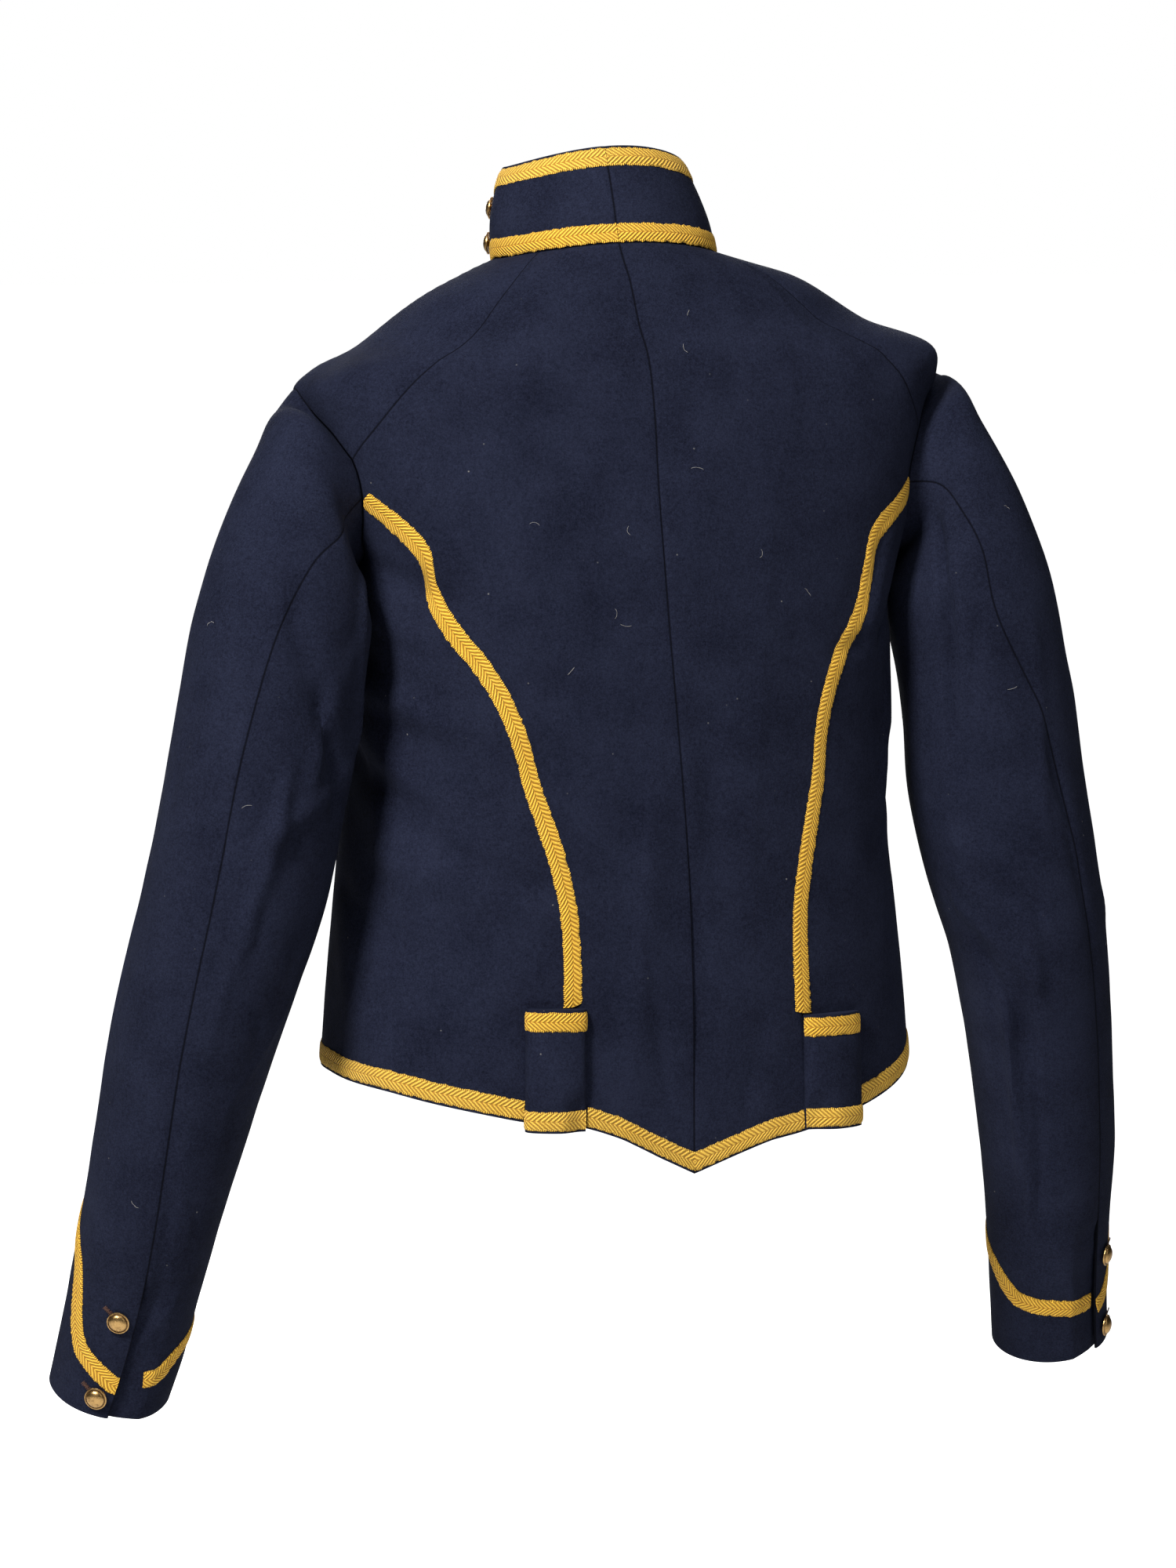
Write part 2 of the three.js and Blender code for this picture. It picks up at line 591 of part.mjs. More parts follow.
// Turns a distance up a column, or along a row, into a count of places.
function placeAlong(points, distance) {
  let left = distance;
  for (let i = 0; i < points.length - 1; i++) {
    const step = points[i + 1].distanceTo(points[i]);
    if (left <= step || i === points.length - 2) return i + left / step;
    left -= step;
  }
  return 0;
}

function columnPoints(grid, column) {
  return grid.map((row, i) => onWall(grid, i, column, 0).point);
}

function rowPoints(grid, row) {
  return grid[0].map((_, j) => onWall(grid, row, j, 0).point);
}

// A flat lace of cloth: each station lists the places across it, as { point, direction }.
function addLace(name, stations, finish = lace, thick = LACE_THICK) {
  const grid = stations.map((station) =>
    station.map(({ point, direction }) => ({
      outer: point.clone().addScaledVector(direction, thick),
      inner: point,
    })),
  );
  addWall(name, grid, finish);
}

// Lace that follows a wall's bottom or top edge, from one column to another.
function laceAlongRow(grid, fromTop, edge, wide, start, end) {
  const stations = [];
  const columns = [start];
  for (let j = Math.ceil(start + 0.15); j < end - 0.15; j++) columns.push(j);
  columns.push(end);
  for (const column of columns) {
    const points = columnPoints(grid, column);
    if (fromTop) points.reverse();
    const rowOf = (distance) => {
      const place = placeAlong(points, distance);
      return fromTop ? grid.length - 1 - place : place;
    };
    const across = fromTop ? [1, 0.5, 0] : [0, 0.5, 1];
    stations.push(across.map((share) => onWall(grid, rowOf(edge + wide * share), column, LACE_LIFT)));
  }
  return stations;
}

// Lace that follows a wall's last column, from its bottom to its top.
function laceAlongColumn(grid, edge, wide, start, end) {
  const stations = [];
  const last = grid[0].length - 1;
  for (let k = 0; k <= Math.ceil(end - start); k++) {
    const row = Math.min(start + k, end);
    const points = rowPoints(grid, row).reverse();
    const columnOf = (distance) => last - placeAlong(points, distance);
    stations.push([1, 0.5, 0].map((share) => onWall(grid, row, columnOf(edge + wide * share), LACE_LIFT)));
  }
  return stations;
}

// A domed brass button with a rim and a short shank, standing on a wall.
function addButton(name, { point, direction }) {
  const profile = [
    [0, 0], [SHANK_RADIUS, 0], [SHANK_RADIUS, SHANK_HIGH], [BUTTON_RADIUS, SHANK_HIGH + 0.1],
    [BUTTON_RADIUS, SHANK_HIGH + 0.9], [BUTTON_RADIUS * 0.86, SHANK_HIGH + 1.7],
    [BUTTON_RADIUS * 0.5, BUTTON_HIGH * 0.9], [0, BUTTON_HIGH],
  ].map(([radius, high]) => new THREE.Vector2(radius, high));
  const button = addMesh(name, new THREE.LatheGeometry(profile, BUTTON_SIDES), brass);
  button.quaternion.setFromUnitVectors(vector(0, 1, 0), direction);
  button.position.copy(point);
}

// The outer point of a sleeve. column counts the armhole's places from the side back
// seam, place counts the sleeve's rings from the armhole.
function sleevePoint(side, loop, counts, column, place) {
  const ringRow = (k) => {
    if (k === 0) return loop[column % loop.length].outer;
    const ring = SLEEVE[k - 1];
    const inTop = column <= counts.top;
    const share = inTop ? column / counts.top : (column - counts.top) / counts.under;
    const even = HIND_SEAM_ANGLE + 180 * (inTop ? share : 1 + share);
    const head = loop[column % loop.length].angle + (column === loop.length ? 360 : 0);
    const angle = blend(head, even, ease(k, 0, HEAD_RINGS));
    return sleeveRingPoint(ring, side, angle, k);
  };
  const last = SLEEVE.length;
  const i = Math.min(Math.floor(place), last - 1);
  const f = place - i;
  const points = [Math.max(i - 1, 0), i, i + 1, Math.min(i + 2, last)].map(ringRow);
  return clearOfBody(side, curveThrough(points, f), ease(place, 0, 0.6));
}

// Holds a sleeve's point out of the body below the armhole.
function clearOfBody(side, point, share) {
  const ahead = BODY.findIndex((ring) => ring.side > point.z);
  if (ahead < 1 || share === 0) return point;
  const [low, high] = [BODY[ahead - 1].side, BODY[ahead].side];
  const ring = smoothRow(BODY, ahead - 1 + (point.z - low) / (high - low));
  const inBack = point.y > ring.midY;
  const reach = inBack ? ring.backY - ring.midY : ring.midY - ring.frontY;
  const power = inBack ? ring.backPower : ring.frontPower;
  const rest = 1 - Math.abs((point.y - ring.midY) / reach) ** power;
  if (rest <= 0 || point.z > ARMHOLE_FOOT) return point;
  const angle = Math.atan2(side * (point.x - ring.shift), point.y - ring.midY) / DEGREE;
  const fold = Math.max(foldHeight(BODY_FOLDS, side, angle, point.z), 0);
  const least = ring.half * rest ** (1 / power) + SLEEVE_CLEAR + fold;
  const short = least - side * (point.x - ring.shift);
  if (short > 0) point.x += side * short * share;
  return point;
}

function curveThrough([a, b, c, d], f) {
  const spline = (p, q, r, s) =>
    0.5 * (2 * q + (r - p) * f + (2 * p - 5 * q + 4 * r - s) * f * f + (3 * q - p - 3 * r + s) * f * f * f);
  return vector(spline(a.x, b.x, c.x, d.x), spline(a.y, b.y, c.y, d.y), spline(a.z, b.z, c.z, d.z));
}

function sleeveRingPoint(ring, side, angle, k) {
  const tilt = ring.tilt * DEGREE;
  const pitch = ring.pitch * DEGREE;
  const toOutside = vector(Math.cos(tilt), 0, Math.sin(tilt));
  const toBack = vector(0, Math.cos(pitch), -Math.sin(pitch));
  const sine = Math.sin(angle * DEGREE);
  const cosine = Math.cos(angle * DEGREE);
  const point = vector(ring.x, ring.y, ring.z);
  const direction = toOutside.clone().multiplyScalar(sine).addScaledVector(toBack, cosine);
  const turned = ((angle + 90) % 360) - 90;
  const height = k > 2 ? foldHeight(SLEEVE_FOLDS, side, turned, point.z + direction.z * ring.wide) : 0;
  point.addScaledVector(toOutside, ring.wide * sine).addScaledVector(toBack, ring.deep * cosine);
  point.addScaledVector(direction, height);
  point.z += side * SLEEVE_LEAN * ((2 * k) / SLEEVE.length - 1);
  point.x = side * point.x + blend(SLEEVE_SHIFT.head, SLEEVE_SHIFT.cuff, ease(k, 1, 5));
  return point;
}

// Builds both pieces of one sleeve as grids of places, rows from the armhole to the cuff.
function sleeveGrids(side, loop, counts, outwardAt) {
  const rowPlace = (i) => (i / SLEEVE_ROWS) * SLEEVE.length;
  const build = (first, last) =>
    evenly(SLEEVE_ROWS, (t) => t * SLEEVE_ROWS).map((i) =>
      Array.from({ length: last - first + 1 }, (_, j) => {
        const column = first + j;
        if (i === 0) {
          const { outer, inner } = loop[column % loop.length];
          return { outer, inner };
        }
        const outer = sleevePoint(side, loop, counts, column, rowPlace(i));
        return wallPlace(outer, outwardAt(column, rowPlace(i)));
      }),
    );
  return { top: build(0, counts.top), under: build(counts.top, counts.top + counts.under) };
}

// The sleeve's outward direction at a place, from its neighbours.
function sleeveOutwardFrom(side, loop, counts) {
  const total = counts.top + counts.under;
  return (column, place) => {
    const low = Math.max(place - 0.25, 0);
    const high = Math.min(Math.max(place, 0.6) + 0.25, SLEEVE.length);
    const before = (column - 1 + total) % total;
    const after = (column + 1) % total;
    const at = (whichColumn, whichPlace) => sleevePoint(side, loop, counts, whichColumn, whichPlace);
    const round = at(after, place).sub(at(before, place));
    const down = at(column % total, high).sub(at(column % total, low));
    return round.cross(down).multiplyScalar(side).normalize();
  };
}

// Lets the under sleeve pass beneath the top sleeve along the cuff's slit.
function lapCuff(grid) {
  const last = grid[0].length - 1;
  grid.forEach((row) => {
    const edge = grid[grid.length - 1][last].outer;
    const rise = row[last].outer.distanceTo(edge);
    if (rise > CUFF_SLIT_LONG) return;
    const along = row[last].outer.clone().sub(row[last - 1].outer).normalize();
    const lap = rise < CUFF_SLIT_LONG * 0.7 ? CUFF_LAP : 0;
    for (const [j, pass] of [[last, lap], [last - 1, lap / 2]]) {
      const sink = CLOTH + 0.7 + (j === last ? lap * CUFF_LAP_BEND : 0);
      const inward = row[j].inner.clone().sub(row[j].outer).normalize();
      for (const face of ['outer', 'inner']) {
        row[j][face] = row[j][face].clone().addScaledVector(along, pass).addScaledVector(inward, sink);
      }
    }
  });
}

// Lace round the cuff on one sleeve piece, rising to its point on the outer side.
function cuffLace(grid, firstAngle, lastAngle, skip) {
  const columns = grid[0].length - 1;
  const stations = [];
  for (let k = 0; k <= columns; k++) {
    const column = Math.min(Math.max(k, skip.start), columns - skip.end);
    const angle = blend(firstAngle, lastAngle, column / columns);
    const rise = lookUp(CUFF_LACE, 'angle', angle, 'rise');
    const points = columnPoints(grid, column).reverse();
    const rowOf = (distance) => grid.length - 1 - placeAlong(points, distance);
    const slope = Math.abs(
      lookUp(CUFF_LACE, 'angle', angle + 8, 'rise') - lookUp(CUFF_LACE, 'angle', angle - 8, 'rise'),
    ) / 11;
    const tall = LACE_WIDE * Math.hypot(1, slope);
    stations.push([1, 0.5, 0].map((share) => onWall(grid, rowOf(rise + tall * share), column, LACE_LIFT)));
  }
  return stations;
}

// A small pad on the lower back, from its foot at the hem to its top.
function bolsterGrid(side) {
  const pad = BOLSTERS.find((row) => row.side === side);
  return evenly(BOLSTER_ROWS, (t) =>
    evenly(BOLSTER_COLUMNS, (s) => {
      const angle = pad.angle + ((s - 0.5) * BOLSTER_WIDE) / BACK_ARC_PER_DEGREE;
      const level = (blend(pad.foot, pad.top, t) - LOWEST_RING) / RING_STEP;
      const base = bodyPoint(side, angle, level);
      const direction = bodyOutward(side, angle, level);
      const crown = Math.sqrt(Math.max(1 - (2 * s - 1) ** 2, 0));
      const fullness = 0.8 + 0.2 * Math.sin(Math.PI * Math.min(t * 1.1, 1));
      const thick = CLOTH + (BOLSTER_HIGH - CLOTH) * crown * fullness;
      return {
        outer: base.clone().addScaledVector(direction, BOLSTER_LIFT + thick),
        inner: base.clone().addScaledVector(direction, BOLSTER_LIFT),
      };
    }),
  );
}

// A blind buttonhole on the collar: lace out along the top, round the rear end and back.
function collarLoop(grid, high) {
  const columns = grid[0].length - 1;
  const rows = grid.length - 1;
  const spread = (LOOP_LACE_WIDE + LOOP_SLOT) / 2;
  const straight = COLLAR_LOOP_LONG - spread - LOOP_LACE_WIDE / 2;
  const tall = grid[0][columns].outer.distanceTo(grid[rows][columns].outer);
  const edge = rowPoints(grid, (high / tall) * rows).reverse();
  const runs = [CLOTH_EDGE];
  edge.slice(1).reduce((sum, point, i) => {
    const along = sum + point.distanceTo(edge[i]);
    if (along > CLOTH_EDGE + 0.5 && along < straight - 0.5) runs.push(along);
    return along;
  }, 0);
  runs.push(straight);
  const path = runs.map((along) => ({ along, up: spread, sideAlong: 0, sideUp: 1 }));
  for (const turn of [45, 90, 135]) {
    const [sine, cosine] = [Math.sin(turn * DEGREE), Math.cos(turn * DEGREE)];
    path.push({ along: straight + spread * sine, up: spread * cosine, sideAlong: sine, sideUp: cosine });
  }
  path.push(...[...runs].reverse().map((along) => ({ along, up: -spread, sideAlong: 0, sideUp: -1 })));
  return path.map(({ along, up, sideAlong, sideUp }) =>
    [-0.5, 0, 0.5].map((share) => {
      const distance = along + sideAlong * share * LOOP_LACE_WIDE;
      const row = ((high + up + sideUp * share * LOOP_LACE_WIDE) / tall) * rows;
      return onWall(grid, row, columns - placeAlong(edge, distance), LACE_LIFT);
    }),
  );
}

function buildSide(side) {
  const name = side > 0 ? 'left' : 'right';
  const layout = bodyLayout(side);
  const counts = {
    top: ARM_BACK_ROWS + ARM_FRONT_ROWS - FRONT_SEAM_ROWS,
    under: FRONT_SEAM_ROWS + SIDE_COLUMNS,
  };
  const bareLoop = armholeLoop(side, layout, null);
  const bareOutward = sleeveOutwardFrom(side, bareLoop, counts);
  const loop = armholeLoop(side, layout, bareLoop.map((_, i) => bareOutward(i, 0)));
  const atArmhole = new Map(loop.map((place) => [place.key, place]));

  const bodyGrid = (places) =>
    places.map((row) =>
      row.map(({ angle, level }) => {
        const shared = atArmhole.get(placeKey({ angle, level }));
        if (shared) return { outer: shared.outer, inner: shared.inner };
        return wallPlace(bodyPoint(side, angle, level), bodyOutward(side, angle, level));
      }),
    );
  const back = insetEdges(bodyGrid(layout.back), ['left', 'right', 'top']);
  const front = insetEdges(bodyGrid(layout.front), ['left', 'top']);
  const sideBody = insetEdges(bodyGrid(layout.side_body), ['left', 'right', 'top']);
  addWall(`back_${name}`, back, wool);
  addWall(`side_body_${name}`, sideBody, wool);
  addWall(`front_${name}`, front, wool);

  const collarAngles = layout.collar.map((angle) => Math.min(angle, 179.4));
  const collarSurface = (u, v) => ringPoint(smoothRow(COLLAR, v), side, u);
  const collar = insetEdges(
    evenly(COLLAR_ROWS, (t) => t * (COLLAR.length - 1)).map((level) =>
      collarAngles.map((angle) => {
        const held = Math.min(Math.max(level, 0.02), COLLAR.length - 1.02);
        return wallPlace(collarSurface(angle, level), outward(collarSurface, angle, held, 0.5, 0.02, side));
      }),
    ),
    ['left', 'bottom'],
  );
  addWall(`collar_${name}`, collar, wool);

  const sleeve = sleeveGrids(side, loop, counts, sleeveOutwardFrom(side, loop, counts));
  const topSleeve = insetEdges(sleeve.top, ['left', 'right', 'bottom']);
  const underSleeve = insetEdges(sleeve.under, ['left', 'right', 'bottom']);
  lapCuff(underSleeve);
  addWall(`top_sleeve_${name}`, topSleeve, wool);
  addWall(`under_sleeve_${name}`, underSleeve, wool);

  return { name, back, front, sideBody, collar, topSleeve, underSleeve, layout };
}

// The place along a line of points that lies nearest a target.
function nearestPlace(points, target) {
  let best = { place: 0, distance: Infinity };
  for (let step = 0; step <= (points.length - 1) * 50; step++) {
    const place = step / 50;
    const i = Math.min(Math.floor(place), points.length - 2);
    const distance = points[i].clone().lerp(points[i + 1], place - i).distanceTo(target);
    if (distance < best.distance) best = { place, distance };
  }
  return best.place;
}

function addBolster(side, name) {
  const bolster = bolsterGrid(side);
  addWall(`bolster_${name}`, bolster, wool);
  const foot = laceAlongRow(bolster, false, BOLSTER_FOOT_EDGE, LACE_WIDE, 0, BOLSTER_COLUMNS);
  const top = laceAlongRow(bolster, true, CLOTH_EDGE, LACE_WIDE, 0, BOLSTER_COLUMNS);
  addLace(`bolster_foot_lace_${name}`, foot);
  addLace(`bolster_top_lace_${name}`, top);
  return bolster;
}

// Lace over the seam between the back and the side body, from the bolster to the armhole.
function addSideBackLace(name, back, sideBody, bolster) {
  const last = back[0].length - 1;
  const half = LACE_WIDE / 2;
  const seam = columnPoints(sideBody, 0);
  const bolsterTop = bolster[BOLSTER_ROWS][0].outer.z + 1;
  const above = seam.findIndex((point) => point.z > bolsterTop);
  const first = above - (seam[above].z - bolsterTop) / (seam[above].z - seam[above - 1].z);
  const station = (row) => {
    const backPlace = last - placeAlong(rowPoints(back, row).reverse(), half);
    const sidePlace = placeAlong(rowPoints(sideBody, row), half);
    return [
      onWall(back, row, backPlace, LACE_LIFT),
      onWall(back, row, last, LACE_LIFT),
      onWall(sideBody, row, sidePlace, LACE_LIFT),
    ];
  };
  const rows = [first];
  for (let row = Math.ceil(first + 0.1); row < LOW_ROWS; row++) rows.push(row);
  rows.push(LOW_ROWS - 0.25);
  addLace(`side_back_lace_${name}`, rows.map(station));
}

function addHemLace(side, name, { back, front, sideBody }, bolster) {
  const backHem = rowPoints(back, 0);
  const sideHem = rowPoints(sideBody, 0);
  const beside = (grid, column) => {
    return [0, 1].map((row) => nearestPlace(rowPoints(grid, row), bolster[row][column].inner));
  };
  const backGap = PAD_GAP / backHem[0].distanceTo(backHem[1]);
  const sideGap = PAD_GAP / sideHem[0].distanceTo(sideHem[1]);
  const backEnd = Math.min(...beside(back, 0)) - backGap;
  const sideStart = Math.max(...beside(sideBody, BOLSTER_COLUMNS)) + sideGap;
  const hemLace = (grid, start, end) => laceAlongRow(grid, false, CLOTH_EDGE, LACE_WIDE, start, end);
  addLace(`hem_back_lace_${name}`, hemLace(back, 0.02, backEnd));
  addLace(`hem_side_lace_${name}`, hemLace(sideBody, sideStart, SIDE_COLUMNS));

  const last = front[0].length - 1;
  const frontHem = rowPoints(front, 0).reverse();
  const edgeLace = CLOTH_EDGE + LACE_WIDE + LACE_GAP;
  const underLap = placeAlong(frontHem, 2 * frontHem[0].distanceTo(frontHem[2]) + LACE_GAP);
  const end = side > 0 ? last - placeAlong(frontHem, edgeLace) : last - underLap;
  addLace(`hem_front_lace_${name}`, hemLace(front, 0.02, end));
}

function addCollarTrim(name, collar) {
  const columns = collar[0].length - 1;
  addLace(`collar_top_lace_${name}`, laceAlongRow(collar, true, CLOTH_EDGE, LACE_WIDE, 0.02, columns));
  const seam = rowPoints(collar, 0).reverse();
  const seamEnd = columns - placeAlong(seam, COLLAR_LOOP_LONG + LACE_GAP);
  addLace(`collar_seam_lace_${name}`, laceAlongRow(collar, false, 0.4, LACE_WIDE, 0.02, seamEnd));

  const tall = collar[0][columns].outer.distanceTo(collar[COLLAR_ROWS][columns].outer);
  LOOP_HEIGHTS.forEach((high, i) => {
    addLace(`collar_loop_${name}_${i + 1}`, collarLoop(collar, high));
    const row = (high / tall) * COLLAR_ROWS;
    const line = rowPoints(collar, row).reverse();
    const column = columns - placeAlong(line, COLLAR_LOOP_LONG - LOOP_LACE_WIDE);
    const lift = LACE_LIFT + LACE_THICK + LACE_LIFT;
    addButton(`collar_button_${name}_${i + 1}`, onWall(collar, row, column, lift));
  });
}

function addCuffTrim(name, topSleeve, underSleeve) {
  const middle = 180 + HIND_SEAM_ANGLE;
  const onTop = cuffLace(topSleeve, HIND_SEAM_ANGLE, middle, { start: 0.05, end: 0 });
  const onUnder = cuffLace(underSleeve, middle, 180 + middle, { start: 0, end: 1.3 });
  addLace(`cuff_lace_top_${name}`, onTop);
  addLace(`cuff_lace_under_${name}`, onUnder);
  CUFF_BUTTON_RISES.forEach((rise, i) => {
    const row = SLEEVE_ROWS - placeAlong(columnPoints(topSleeve, 0).reverse(), rise);
    const column = placeAlong(rowPoints(topSleeve, row), CUFF_BUTTON_INSET);
    addButton(`cuff_button_${name}_${i + 1}`, onWall(topSleeve, row, column, LACE_LIFT));
  });
}

// The left front's edge lace, and the buttons that close it over the right front.
function addFrontTrim({ front, layout }) {
  const rows = front.length - 1;
  const start = placeAlong(columnPoints(front, front[0].length - 1), CLOTH_EDGE);
  addLace('front_edge_lace', laceAlongColumn(front, CLOTH_EDGE, LACE_WIDE, start, rows - 0.06));

  const angles = layout.front[0].map((place) => place.angle);
  const step = angles[angles.length - 1] - angles[angles.length - 2];
  const column = angles.length - 1 - FRONT_PASS / step;
  const line = columnPoints(front, column);
  const long = line.slice(1).reduce((sum, point, i) => sum + point.distanceTo(line[i]), 0);
  for (let i = 0; i < FRONT_BUTTONS; i++) {
    const up = blend(FRONT_BUTTON_END, long - FRONT_BUTTON_TOP, i / (FRONT_BUTTONS - 1));
    addButton(`front_button_${i + 1}`, onWall(front, placeAlong(line, up), column, LACE_LIFT));
  }
}

for (const side of [1, -1]) {
  const pieces = buildSide(side);
  const bolster = addBolster(side, pieces.name);
  addSideBackLace(pieces.name, pieces.back, pieces.sideBody, bolster);
  addHemLace(side, pieces.name, pieces, bolster);
  addCollarTrim(pieces.name, pieces.collar);
  addCuffTrim(pieces.name, pieces.topSleeve, pieces.underSleeve);
  if (side > 0) addFrontTrim(pieces);
}

export default jacket;
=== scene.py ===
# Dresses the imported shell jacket: fulled wool, worsted lace, brass buttons.
# Sizes of the cloth are in millimetres and become metres when a mesh is made.
import math
import random

import bpy
import numpy as np
from mathutils import Matrix, Vector


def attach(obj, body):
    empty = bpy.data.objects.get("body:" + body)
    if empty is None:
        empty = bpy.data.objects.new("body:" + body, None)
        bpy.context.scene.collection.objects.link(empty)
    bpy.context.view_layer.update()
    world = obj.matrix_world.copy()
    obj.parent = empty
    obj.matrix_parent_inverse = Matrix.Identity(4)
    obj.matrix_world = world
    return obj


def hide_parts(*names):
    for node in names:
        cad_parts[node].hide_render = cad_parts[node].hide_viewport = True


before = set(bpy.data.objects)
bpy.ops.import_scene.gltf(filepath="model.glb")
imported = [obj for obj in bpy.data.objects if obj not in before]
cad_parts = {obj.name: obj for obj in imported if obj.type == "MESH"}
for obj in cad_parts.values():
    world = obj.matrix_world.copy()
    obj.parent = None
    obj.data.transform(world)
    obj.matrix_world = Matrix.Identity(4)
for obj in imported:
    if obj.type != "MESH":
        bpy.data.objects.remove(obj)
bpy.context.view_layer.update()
random.seed(11)
dice = np.random.default_rng(7)

# The camera stands behind the wearer's left shoulder, as in the photograph.
cameraSet = {
    "toward": (0.3395, 0.9327, 0.1219), "away": 3.4, "target": (0.02447, 0.03506, -0.33647), "lens": 122.4,
}


def placeCamera(s):
    data = bpy.data.cameras.new("camera")
    data.sensor_fit = "VERTICAL"
    data.sensor_height = 36
    data.lens = s["lens"]
    data.clip_end = 60
    camera = bpy.data.objects.new("camera", data)
    bpy.context.scene.collection.objects.link(camera)
    toward = Vector(s["toward"]).normalized()
    camera.location = Vector(s["target"]) + toward * s["away"]
    camera.rotation_mode = "QUATERNION"
    camera.rotation_quaternion = toward.to_track_quat("Z", "Y")
    bpy.context.scene.camera = camera


placeCamera(cameraSet)
print("camera placed")

# The body's form
cloth = {
    "thick": 1.8, "edge": 1.6, "frontPass": 12.5, "lapStep": 2.8, "lowRing": -600, "ringStep": 60,
    "lowRows": 16, "armBackRows": 3, "armFrontRows": 12, "frontSeamRows": 5, "shoulderColumns": 6,
    "neckBackColumns": 4, "neckFrontColumns": 9, "sideColumns": 7, "sleeveRows": 22, "collarRows": 4,
    "fine": 6, "seamDip": 0.38, "seamWide": 1.5,
}
# side, back, front, half, backY, frontY, midY, backPower, frontPower, lean, shift
bodyRings = np.array([
    [-600, -600, -600, 196, 136, -98, 20, 2.5, 2.3, 5, 0],
    [-540, -540, -540, 195, 135, -98, 20, 2.5, 2.3, 5, 0],
    [-480, -480, -480, 191, 134, -98, 20, 2.5, 2.3, 5, 0],
    [-420, -420, -420, 185, 132, -99, 19, 2.5, 2.3, 5, 0],
    [-360, -360, -360, 179, 130, -101, 18, 2.5, 2.3, 4, 0],
    [-300, -300, -300, 175, 127, -103, 16, 2.5, 2.3, 3, 0],
    [-250, -242, -242, 177, 122, -102, 13, 2.6, 2.3, 2, 0],
    [-200, -190, -192, 182, 116, -98, 9, 2.8, 2.4, 1, -1],
    [-150, -143, -150, 192, 108, -92, 5, 3.0, 2.5, -1, -3],
    [-108, -102, -119, 204, 98, -84, 0, 3.0, 2.5, -4, -6],
    [-72, -66, -95, 211.5, 89, -76, -5, 2.7, 2.4, -6, -7],
    [-49.5, -43, -76, 168, 80, -70, -5, 2.4, 2.3, -6, -5],
    [-24, -17, -61, 129, 73, -66, -3, 2.2, 2.2, -5, -3],
    [-10, -2.5, -53, 95, 67, -63, -1, 2.1, 2.1, -2, -1],
    [-3, 8, -47, 72, 62, -60, 0, 2.0, 2.0, 0, 0],
])
collarRings = np.array([
    [-3, 8, -47, 72, 62, -60, 0, 2.0, 2.0, 0, 0],
    [16, 28, -31, 70, 55, -66, -5, 2.0, 2.0, 0, 0.5],
    [35, 48, -15, 65, 46, -71, -11, 2.0, 2.0, 0, 1],
    [54, 68, 0, 58, 37, -75, -17, 2.0, 2.0, 0, 2],
])
# x, y, z, tilt, pitch, wide, deep
sleeveRings = np.array([
    [205, 14, -136, 75, 0, 66.5, 56],
    [210.5, 30, -161, 60, 0, 61.5, 57],
    [220.5, 42, -190, 40, 0, 57, 56],
    [233, 50, -232, 19, 0, 56, 55],
    [244, 53, -292, 10, 1, 58, 54],
    [253.5, 52, -344, 11, 2, 57.5, 54],
    [264, 52, -394, 13, 4, 56, 54],
    [277.5, 48, -444, 13, 8, 53, 52],
    [289.5, 38.5, -494, 11, 12, 50, 49],
    [299, 27.5, -544, 10, 13, 47, 47],
    [307.5, 16.5, -594, 9, 14, 44, 45],
    [315.5, 3.5, -644, 9, 15, 41.5, 42],
    [322.5, -9.5, -686, 9, 16, 40.5, 40],
    [329.5, -22, -726, 9, 16, 40, 39.5],
], dtype=float)
sleeveSet = {
    "lean": 6, "headShift": -4.5, "headRings": 4, "foot": -165, "clear": 2.2, "inward": 7, "headSettle": 1.7,
}
# Where the hind seam runs on each ring, in degrees, on the left and on the right
hindSeam = {
    1: [14, 14, 17, 20, 27, 30, 30, 28, 24, 19, 15, 12, 12, 15],
    -1: [14, 8, 1, -5, 14, 24, 29, 30, 30, 30, 30, 30, 30, 30],
}
# Seams as level, angle
backSeam = np.array([
    [0, -5], [2.4, -5.2], [3.6, -4.3], [5.2, -1], [6.3, 1], [8, 4], [10.3, 6.5], [12, 9.5], [14, 12.5],
])
sideBackSeam = np.array([
    [1.0, 37], [2.2, 35.5], [3.05, 35.5], [3.6, 37.5], [4.1, 40.5], [4.6, 43.7], [5.15, 46.2], [5.7, 51],
    [6.2, 57], [6.55, 60.3], [6.95, 61.4], [7.2, 61.2], [7.7, 68.5], [8.0, 74.5],
])
shoulderSeam = np.array([
    [8.6, 75.5], [9.0, 71], [9.6, 66], [10.25, 62], [11, 59.5], [11.8, 57.5], [12.6, 56.5], [14, 57],
])
sideSeam = np.array([
    [1.4, 98], [3, 98], [5, 97], [6.9, 96],
])
armBack = np.array([[8.0, 74.5], [8.3, 74.6], [8.6, 75.5]])
armFront = np.array([
    [6.9, 96], [7.2, 103], [8.0, 107], [8.9, 106], [9.6, 100.5], [9.93, 91], [9.3, 82], [8.6, 75.5],
])
armUnder = np.array([[8.0, 74.5], [7.5, 76.5], [7.05, 82], [6.85, 89], [6.9, 96]])
# Hem as angle, height on the left, height on the right
hemLine = np.array([
    [0, -569, -569], [12, -559, -561], [24, -548, -553], [34, -541, -549], [47, -538, -540],
    [62, -530, -526], [75, -522, -513], [90, -519, -510], [120, -518, -511], [200, -522, -522],
])
